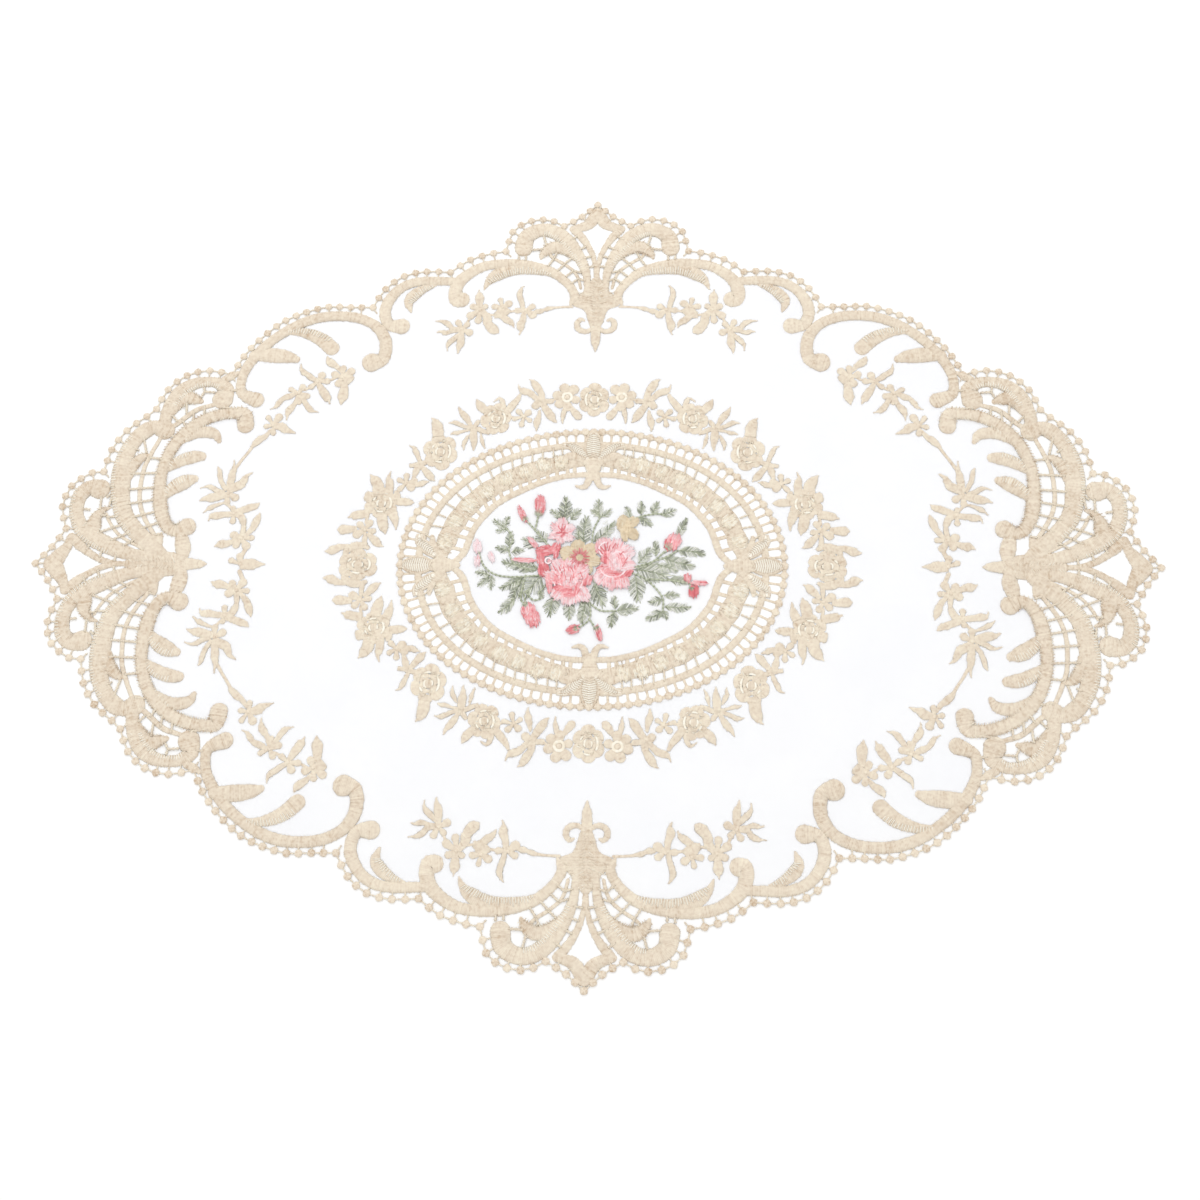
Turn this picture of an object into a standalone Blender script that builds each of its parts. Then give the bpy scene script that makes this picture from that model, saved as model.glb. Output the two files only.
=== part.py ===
"""A lace doily: a flat pointed-oval mat of sheer cloth with a stitched scroll border, picot beads,
an oval openwork medallion, a wreath of roses, flower sprigs and a coloured bouquet.

The cloth is one solid. Its outline and its open gaps come from the union of the stitched scrolls,
bars, beads and the sheer ground, and the stitching is raised in the points of its top face.
Every table gives one quarter of the mat in millimetres, and is mirrored about both axes.
"""
import math

import bpy
from mathutils import Vector
from mathutils.geometry import convex_hull_2d, delaunay_2d_cdt

# Driving dimensions, in millimetres.
CLOTH_THICKNESS = 1.0       # the sheer ground, and the foot of all the stitching
BAND_RISE = 1.0             # crown of a satin band above the ground
LEAF_RISE = 0.6             # crown of an embroidered leaf or petal
ROSE_RISE = 0.9             # crown of an embroidered rose
BEAD_RADIUS = 1.7           # picot beads of the outer edge
EDGE_DEPTH = 3.2            # from the bead centres in to the band
BAR_WIDTH = 1.2             # twisted thread bars across the open gaps
CROWNED_WIDTH = 1.8         # narrower stretches of a band have no crown of their own
FULL_WIDTH = 4.0            # bands at least this wide rise to their full crown
ROUND_END_WIDTH = 1.4       # wider bands end in a half round
MIN_GAP_WIDTH = 2.2         # gaps of a smaller mean width stay closed
MIN_PATCH_AREA = 2.5        # smaller scraps of plain ground or stitching are dropped
LAYER_GAP = 0.3             # between one stitched layer and the next
FOLIAGE_THICKNESS = 0.4     # foot of the green stitching
BLOOM_THICKNESS = 0.4       # foot of the flower heads
BOUQUET_RISE = 0.5          # crown of the bouquet's leaves and flower heads
SAMPLE_STEP = 1.5           # spacing of the points that a smooth run is first drawn with
OUTLINE_TOLERANCE = 0.4     # how far a thinned outline may stray from the smooth one
CREASE_TOLERANCE = 0.7      # the same where stitching meets plain ground
CROWN_TOLERANCE = 0.9       # the same for the crowns
MERGE = 1e-5                # points nearer than this are one
OVAL_SIDES = 64             # flats that draw the ovals of the sheer ground
PETAL_RING = 0.6            # where a rose's petals crown, as a share of its radius
LEAF_BELLY = 0.42           # where along its length a leaf is widest
LEAF_STALK = 0.25           # where along its length its stalk joins it
UNDER_BLOOM = 0.75          # how far the foliage reaches under a flower head, as a share of its radius
SHARP_ANGLE = 40            # in degrees: edges sharper than this are not shaded smooth
CREAM, SAGE, PINK = (0.81, 0.69, 0.51), (0.24, 0.29, 0.19), (0.85, 0.33, 0.36)
CLOTH_ROUGHNESS, THREAD_ROUGHNESS = 0.85, 0.8
MM = 0.001
GAP, GROUND, STITCHING = 0, 1, 2

# Scrolls of the border: x, y and width along each satin band.
SCROLLS = {
    "fleur_curl": [
        (1.4, 105.2, 1.6), (3, 103.8, 2), (5.2, 103.6, 2.4), (7.4, 105, 2.6), (7.7, 107.6, 2.4),
        (6.2, 109.1, 2), (4.9, 108.5, 1),
    ],
    "teardrop_strand": [
        (0.2, 127, 1.4), (0.4, 132, 1.6), (1, 136.6, 2), (2.5, 141.3, 2.4), (4.6, 145.3, 2.8),
        (7.2, 149, 3.4), (9.6, 151.6, 3.6),
    ],
    "teardrop_cap": [(10.4, 152.2, 3), (7, 153, 4), (3.8, 154.5, 4.8), (1.6, 157.4, 5.4), (0, 159.4, 6)],
    "crest": [
        (3.7, 121, 2.6), (3.9, 126, 2.8), (4.3, 130, 3.3), (5.6, 134.5, 4.2), (8.1, 139.6, 5.2),
        (11.7, 145, 6.2), (16, 149.4, 6.4), (21, 151.7, 6.2), (26, 151.3, 6.4), (30.2, 148.2, 7),
        (31.2, 143, 7.6),
    ],
    "crest_inner": [
        (9, 138.6, 3.4), (13, 142.2, 5.2), (17.5, 143.5, 5.6), (20.8, 142.2, 5), (23, 139.8, 3),
        (24, 137.6, 0.5),
    ],
    "band_a": [
        (10.9, 115.7, 0.8), (10, 117.6, 2.6), (9.1, 120.2, 3.8), (10.6, 123.8, 3.6), (13.8, 127.6, 3.8),
        (18.5, 131.3, 4.2), (25, 134, 4), (33, 135.6, 4), (41, 135.5, 4.2), (48, 134.2, 4.4),
        (54, 130.8, 4.8), (58, 126.8, 5.4), (59.5, 122.4, 5.8), (58.6, 119, 7), (56.8, 118.5, 7),
    ],
    "band_a_leaf": [
        (16.5, 129.3, 1.2), (22, 131.6, 3.2), (28, 132.6, 4.2), (34, 132.8, 5), (39, 131.8, 5.8),
        (43, 129.6, 5.4), (45.8, 126.8, 3), (47.5, 123, 0.4),
    ],
    "band_b": [
        (59, 127, 3.6), (67, 127.3, 4), (74, 127.2, 4), (80, 125.6, 4.2), (85, 121.7, 4.4),
        (88.2, 116, 4.8), (88.6, 110.8, 4.8), (86.4, 106.6, 5), (81.5, 106, 7.2),
    ],
    "band_b_leaf": [(68, 125.6, 1.4), (73, 123.6, 3.6), (77, 120.6, 5), (79, 117, 4), (77.6, 112.4, 0.5)],
    "band_c": [
        (92.8, 89.2, 8.4), (88.6, 90.8, 5.8), (87.4, 95.7, 5.2), (88.7, 101.5, 5), (93, 106.6, 4.4),
        (99.5, 109.7, 4.4), (107, 110.8, 4.4), (115, 110.3, 4.4), (122.5, 108, 4.4), (129.5, 104, 4.2),
        (135.7, 99.2, 4.2), (140.8, 93.6, 4.4), (145.2, 86.6, 4.2), (146.9, 80.5, 3.9), (146, 75, 4.4),
        (140, 72, 6.6),
    ],
    "band_c_leaf": [
        (131, 103, 1.6), (125, 103.4, 3.4), (119.5, 102.2, 5), (114.5, 99.6, 6), (110.2, 95.8, 6.4),
    ],
    "band_c_comma": [
        (142.5, 92.4, 4.4), (137, 92.6, 6.4), (131.6, 92.2, 6.4), (127.4, 91.5, 5), (124.6, 90.6, 3),
    ],
    "side_crest": [
        (154, 72.3, 8.6), (153.2, 77, 6.6), (157.3, 79.9, 4.6), (162.5, 80.2, 4.6), (167.5, 78.9, 5.4),
        (171.9, 75.6, 6.4), (175, 70.6, 6), (176.6, 65.5, 5.4), (177.2, 61.5, 5),
    ],
    "side_crest_inner": [
        (162.8, 71.4, 2), (165.5, 72.3, 4.6), (169, 73, 6.2), (172.5, 71.2, 6.6), (175, 67, 4.6),
    ],
    "side_inner": [
        (143.4, 60.6, 7), (144.5, 65.4, 6), (149.5, 66, 4.8), (156, 64.9, 5), (162.4, 62, 5),
        (168, 57.4, 5), (172.2, 51.6, 5), (174.9, 45, 4.8), (176.2, 38, 4.8), (176, 31, 5.4),
        (175.2, 25.2, 5.8), (173.8, 20, 5.4), (171, 15.6, 5), (167.4, 14.2, 5.2), (163.5, 15.8, 7.6),
    ],
    "side_comma_1": [
        (171.5, 51.6, 2), (168, 55, 4.4), (163.5, 57.2, 5), (159, 57.5, 5), (155.5, 56.3, 4.2),
        (153.7, 53.4, 1.8),
    ],
    "side_comma_2": [
        (174.5, 40.6, 2.4), (171.3, 43.2, 4.6), (167.4, 45.3, 5.4), (163.4, 46.4, 5.4), (160.4, 46.6, 4),
    ],
    "side_comma_3": [
        (174.6, 28.5, 3), (172, 31.4, 5), (168.8, 34, 6.4), (165.2, 35.8, 5.8), (162.4, 36.7, 3.4),
    ],
    "side_outer": [
        (176.6, 58.3, 8.2), (180.6, 59.6, 6), (184.3, 58.4, 6.8), (188, 54.8, 6.4), (190.7, 50, 6.6),
        (192.2, 44.5, 7.4), (192.7, 38.5, 8), (192.4, 32, 8), (191.2, 26, 7.2), (188.8, 21, 6.2),
        (185, 16, 5.6), (181, 12, 5.6), (176.5, 8.4, 6), (171, 5, 5),
    ],
    "side_outer_inner": [
        (182.5, 47.3, 1.2), (184.7, 46.3, 3.4), (187.2, 44, 4.6), (188.8, 40.5, 4), (189.6, 37, 3),
    ],
    "tip_scroll": [
        (200.7, 32.2, 8.4), (205.2, 32.6, 6.6), (208.5, 29.4, 6.2), (209.4, 24, 5.8), (208.4, 19, 5.8),
        (205.6, 14.6, 6.2), (201, 11.2, 6.4), (195.5, 8.6, 5.4), (189.5, 6.2, 4.2), (184, 4.8, 3.6),
        (177, 3, 5),
    ],
    "tip_scroll_inner": [
        (195.4, 24.2, 0.8), (198.5, 22.9, 2.6), (201, 19.6, 4.8), (201.8, 15.5, 6.6), (203, 12.5, 6),
    ],
    "tip_strand": [
        (184, 0.3, 1.8), (190, 0.3, 2.2), (195, 1, 2.5), (199, 2.8, 2.6), (203, 5.3, 3),
        (206.5, 8.2, 4.2), (209.5, 11.2, 3.4),
    ],
    "tip_cap": [(210, 11.4, 3.4), (211.2, 7.4, 4), (213.6, 3.8, 6), (216.2, 0, 7.4)],
    "edge_link": [(148.6, 84.4, 1.6), (151.2, 82.8, 3.2), (154, 81.4, 3)],
    "ball_link": [(165.2, 10.6, 4), (165.4, 13.4, 4)],
    "tip_bead": [(165.4, 12.4, 4.6), (164.7, 9.4, 6), (164, 6.4, 6.2), (164, 3.8, 5), (165, 1.2, 4)],
    "fan_stub": [(173.8, 11.6, 2.4), (174.8, 9.4, 4.8), (176.4, 6, 7)],
}

# Rails of the net inside the motifs: x, y and width.
RAILS = {
    "crest_rail": [
        (6.6, 123.8, 1.1), (7.8, 128.6, 1.1), (9.8, 132, 1.2), (13.7, 135.2, 1.2), (18.1, 138, 1.2),
        (20, 139.8, 1.2),
    ],
    "side_rail_upper": [
        (157.5, 69.8, 1.6), (160.6, 68.9, 1.8), (163.6, 67.9, 2), (166.5, 66, 2), (169, 63.8, 2),
        (171.6, 61.5, 2), (173.8, 59.8, 1.8),
    ],
    "side_rail_lower": [
        (178.3, 54.5, 1.5), (180.3, 50.2, 1.6), (182, 46, 1.6), (183.4, 42, 1.6), (184.1, 36, 1.6),
        (184.2, 30, 1.6), (183.3, 24.8, 1.6), (181.3, 20, 1.6), (178.6, 15.6, 1.6), (175.8, 11.6, 1.6),
    ],
    "tip_rail": [
        (197, 21.4, 1.1), (195, 17.6, 1.1), (191.6, 13.2, 1.1), (187.5, 10.2, 1.1), (183, 7.8, 1.1),
        (180, 6.2, 1.1),
    ],
}

# Thread bars across the gaps: the two ends of each, x, y, x, y.
BARS = [
    (0.8, 134.2, 4.4, 133.6), (2.2, 139, 6, 137.8), (4.6, 143.6, 8.6, 141.6), (8.6, 148.6, 11.4, 146.6),
    (4.6, 127.2, 7.6, 128), (7.4, 128.4, 11, 125.6), (6.4, 131, 9.8, 132), (9.8, 132, 13, 129.2),
    (10.6, 138, 13.8, 135.2), (13.6, 135.2, 16.8, 131.8), (17, 140.6, 18.2, 138), (18.1, 138, 20.8, 134),
    (22.9, 149, 21.6, 144), (22.8, 142.4, 28, 142), (30.2, 139, 30.2, 136.8), (33.2, 139.4, 33, 137),
    (157.4, 75.3, 162.2, 75.7), (163.2, 73, 161.8, 75.6), (161.8, 75.6, 162.3, 78),
    (161.2, 69.4, 161, 65), (165.5, 67, 165.2, 62), (168.4, 65.6, 168.8, 70.6), (170, 63, 167.8, 59.4),
    (171.6, 62, 174.4, 65), (172.2, 55.6, 177, 55.4), (176, 45.3, 182, 46), (177.4, 39.2, 189, 38.8),
    (178, 32.8, 189, 31.9), (178, 27.4, 189, 25.5), (177, 22.2, 187, 19.6), (175, 17.6, 183, 14.6),
    (173, 13, 176, 12.2), (183.2, 48, 185.4, 55.8), (186.4, 49, 188.6, 50.4), (199.6, 23, 199.6, 28.8),
    (196, 29.6, 197.6, 28.4), (203.6, 23, 206.4, 23.4), (191, 20.3, 196.6, 19.8),
    (196.6, 20.6, 199, 20.6), (188.6, 17, 193.4, 15.3), (193.4, 15.3, 198.4, 13.4),
    (186.4, 13.2, 189.6, 11.8), (189.6, 11.8, 193.8, 9.6), (183.4, 10.6, 185.6, 9.2),
    (185.6, 9.2, 188.6, 7.4), (190.8, 4.6, 191.2, 1), (196.8, 5.6, 197.4, 2.6), (202, 8.4, 203, 5.6),
    (194.6, 33.4, 198, 33.2), (147.8, 76.4, 151, 76), (147, 67.8, 154, 68.6), (195.4, 29, 196, 24.6),
]

# Picot edge, from the short axis to the long one: beads after the last arc's end, and points of the arc.
PICOT_ARCS = [
    (4, [(0, 164), (6.6, 158.2), (14.2, 153.6)]),
    (7, [(14.2, 153.6), (18.6, 155.8), (27.8, 156.8), (36, 151), (38.8, 141.4)]),
    (5, [(38.8, 141.4), (44, 140.6), (53.9, 137.4), (62, 131.4)]),
    (8, [(62, 131.4), (72, 131.8), (81.5, 129.7), (89.3, 123.3), (94, 114.8)]),
    (15, [
     (94, 114.8), (104.3, 114.9), (114.3, 114.9), (128.3, 110), (138, 102.6), (146.3, 92.8), (151, 83.5)]),
    (8, [(151, 83.5), (160.3, 85.4), (169.5, 83.4), (177, 77), (181.2, 67.8)]),
    (7, [(181.2, 67.8), (185, 64.4), (192.6, 58), (197.8, 49.5), (200, 39.8)]),
    (7, [(200, 39.8), (205, 39.2), (212.5, 33.5), (215.2, 24.5), (212.5, 15)]),
    (4, [(212.5, 15), (217, 7.5), (223.2, 0)]),
]

# Plain patches of stitching, as outlines: the foot of the fleur and the fan at the long axis.
PATCHES = {
    "fleur_foot": [
        (0, 104), (2.8, 106), (4.6, 112), (6.8, 113.3), (11.2, 113.6), (10.6, 119), (9.6, 121.5),
        (6, 121.6), (5.6, 127), (0, 127.4),
    ],
    "fan": [(163, 0), (163.5, 2.2), (166.5, 4), (169, 6.3), (176, 9), (182, 5), (186, 1.4), (186, 0)],
}

# The closed line, inside the border's bands, that bounds the sheer ground.
GROUND_LINE = [
    (0, 112), (9, 116), (10.3, 121.5), (13.5, 127), (18.5, 131.7), (25, 134.6), (33, 136), (41, 136.2),
    (48, 134.6), (54, 131), (59, 126.8), (67, 127), (74, 127.2), (80, 125.8), (85, 121.7), (88.3, 116),
    (88.8, 110.5), (88.9, 105), (93, 106.8), (99.5, 110), (107, 111), (115, 110.6), (122.5, 108.3),
    (129.5, 104.4), (135.7, 99.6), (140.8, 94), (145, 87), (146.8, 80.5), (145.6, 74.5), (144.8, 70),
    (144.8, 66.6), (149.5, 66.2), (156, 65.4), (162.5, 62.6), (168.3, 57.7), (172.8, 51), (175.8, 43),
    (177, 35), (176.8, 27), (175, 20.5), (171.5, 15.5), (165.5, 14.5), (165.5, 10.5), (163.3, 7),
    (163.5, 1), (166, 0),
]

# Ovals of the medallion: half length, half width and roundness (2 is an ellipse).
BEAD_OVAL = (76.8, 57.7, 2.0)
OUTER_BAND = (69.0, 52.0, 2.1)
WIDE_BAND = (59.3, 43.9, 2.2)
OUTER_BAND_WIDTH = 2.7
WIDE_BAND_WIDTH = 7.8
BEAD_RING_REACH = 1.3               # from the bead ring's oval out to the rim
MEDALLION_SIDES = 36                # flats that draw each oval
OUTER_BAND_RISE, WIDE_BAND_RISE, INNER_BAND_RISE = 0.7, 0.8, 0.6

# The inner satin oval, which swings out to a cusp at the long axis: x, y and width.
INNER_BAND_ROWS = [
    (0, 38.8, 2.3), (5, 38.8, 2.3), (10, 38.4, 2.3), (15, 37.3, 2.3), (20, 35.8, 2.3), (25, 33.7, 2.4),
    (30, 31.2, 2.4), (35, 28.5, 2.4), (39.6, 25.2, 2.5), (43.6, 20.8, 2.6), (46.4, 17, 2.6),
    (48.3, 13, 2.6), (49.5, 9, 2.7), (50.9, 5.4, 2.7), (53.2, 2.5, 2.5), (56, 0, 2.2),
]

# Thread bars of a quarter of the medallion, from each band out to the next: the two ends, x, y, x, y.
LADDER = [
    (12.5, 47.6, 12.8, 51), (16.2, 46.6, 16.3, 50.8), (20.5, 45.4, 20.6, 50), (24.7, 44.2, 24.9, 48.8),
    (28.8, 42.8, 29.1, 47.4), (32.4, 41.2, 33.2, 45.8), (36.8, 38.8, 37.8, 43.6),
    (40.4, 36.8, 42.2, 41.4), (44.6, 33.8, 46.8, 37.8), (48.2, 30.6, 50.8, 34.4),
    (51.8, 27.8, 54.8, 30.4), (54.8, 23.8, 59.2, 26.4), (58.8, 20.2, 62.6, 21.8), (59.6, 15.9, 65, 16.8),
    (63.6, 10.6, 66.8, 13),
]
SLIT = [
    (7.4, 39.4, 7.6, 43.2), (10.3, 39, 10.4, 41.8), (14.4, 38, 14.8, 41), (18.2, 36.8, 18.6, 39.8),
    (21.8, 35.6, 22.3, 38.6), (25.2, 34.2, 25.8, 37.2), (28.9, 32.4, 29.7, 35.9),
    (32.4, 30.6, 33.5, 33.9), (36.2, 28.2, 37.4, 31.6), (39.2, 25.8, 40.8, 29), (42, 23.6, 43.8, 26.8),
    (44.2, 21.4, 47.2, 22.6), (46, 18.4, 50, 20.2), (48.2, 14.8, 52.9, 16), (49.8, 10.8, 55, 11.6),
    (51, 6.6, 56, 6.6),
]

# Stitching at the medallion's four points: x, y and width.
MEDALLION_FLEURS = {
    "side_stem": [(53.5, 0, 2.6), (57, 0, 5.6), (60.5, 0, 7), (63, 0, 5)],
    "side_spray": [(59.6, 3, 3.2), (62.2, 6, 3.2), (63.4, 9, 2.6), (64, 12, 1.6)],
    "top_stem": [(0, 37.6, 2.8), (0, 41, 5.6), (0, 44, 7), (0, 46.5, 5)],
    "top_spray": [(1.4, 43.6, 3.4), (5, 46, 3.8), (9, 47, 3.4), (12.6, 46, 1.6)],
    "top_curl": [
        (1.2, 39, 2.6), (1.7, 36.6, 2.8), (2.6, 34.4, 2.5), (4, 33.4, 2), (5.6, 33.5, 1.4), (7, 34, 0.6),
    ],
    "side_lens": [
        (61, 0, 3), (63.6, 0, 6.2), (66, 0, 8.4), (68.5, 0, 9), (71, 0, 8.2), (73.6, 0, 6.2), (76, 0, 3),
        (77.6, 0, 0.6),
    ],
    "side_wing": [(61.8, 3.2, 2.2), (64, 5.4, 4.4), (66.4, 7.6, 5), (68.6, 10, 4), (69.4, 13, 2.4)],
    "top_lens": [
        (0, 44.6, 3), (0, 47, 7.4), (0, 49.4, 8.4), (0, 52, 7.4), (0, 54.6, 5.6), (0, 57, 3.6),
        (0, 58.6, 1),
    ],
    "top_wing": [(1.6, 44.8, 2.2), (4, 47.2, 4), (6.6, 49.8, 5), (9, 51.8, 3.8), (12.4, 52.4, 2)],
}

# Roses of the wreath: x, y, half length, half width and turn in degrees.
WREATH_ROSES = [
    (0, 72.2, 5.8, 7.2, 0), (40.2, 63.6, 5.9, 6.7, 20), (62.4, 48.8, 6.5, 7.6, 50),
    (85.2, 26.2, 6.5, 6.1, 10), (93.1, 0, 7.8, 6, 0),
]

# Flowers on the ground: the heart, and each petal's middle and half width.
FLOWERS = [
    ((28.8, 64.6), [(27, 66.4, 1.3), (31, 66.8, 1.2), (26.4, 62.9, 1), (29.6, 61, 1.1), (32.6, 63.6, 1)]),
    ((75.8, 34.8), [
     (75.6, 38.2, 1.2), (78.4, 36.4, 1.1), (72.4, 36, 1.3), (73.6, 33.2, 1.6), (78, 32.6, 1.2)]),
    ((91.2, 14.8), [
     (89.3, 17.8, 1.3), (93.3, 17, 1.4), (87.9, 14.3, 1.2), (94.3, 12.9, 1.7), (91, 11.8, 0.9)]),
    ((29.4, 113.5), [(26.8, 115.1, 1.3), (26.6, 111.3, 1.7), (33, 113.3, 1.3)]),
    ((39.4, 114.9), [(36.7, 116.5, 1.5), (40.2, 118.2, 1.1), (42.6, 115.1, 1.3)]),
    ((48.7, 113.6), [(46.6, 115.2, 1.2), (51.6, 115.1, 1.4), (52.6, 110.9, 1.6), (49.3, 108.6, 1.4)]),
    ((55.9, 104.6), [(57.6, 107.7, 1.3), (53.9, 106.8, 1.2), (52.8, 103, 1.5)]),
    ((105, 82.4), [(101.3, 85, 1.6), (104.6, 86.4, 1.3), (108, 83.6, 1.5), (106.2, 79.5, 1.5)]),
    ((114.9, 80.4), [(113.4, 83.2, 1.5), (111, 80.6, 1.3), (117.5, 78.1, 1.2)]),
    ((122.4, 75.2), [(121.1, 77.9, 1.3), (125.8, 76.8, 1.1), (119, 73.8, 1.3), (121.9, 70.9, 0.9)]),
    ((132, 60.6), [(129.9, 64.2, 1.6), (134.2, 64, 1.1), (134.8, 60.1, 1.1), (131.7, 57.2, 1.2)]),
    ((147.9, 30.6), [(144.9, 28.6, 1.5), (148.1, 26.6, 1.3)]),
    ((144.8, 21.6), [(145.3, 23.9, 1.1), (145, 18.4, 1.2)]),
    ((140.9, 11), [(143.9, 12.3, 1.6), (142.8, 8.2, 1.4), (136.8, 11.2, 1.2), (138.6, 7.7, 1.6)]),
    ((140.4, 0), [(140.8, 3.3, 1.4), (144, 1.5, 1.2)]),
    ((11.2, 73.2), [(8.5, 76.8, 2), (12.3, 77.4, 2), (15.2, 74.2, 1.9), (14.3, 70.4, 1.9), (11, 69, 1.9),
     (7.7, 72.2, 1.7)]),
]

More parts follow.
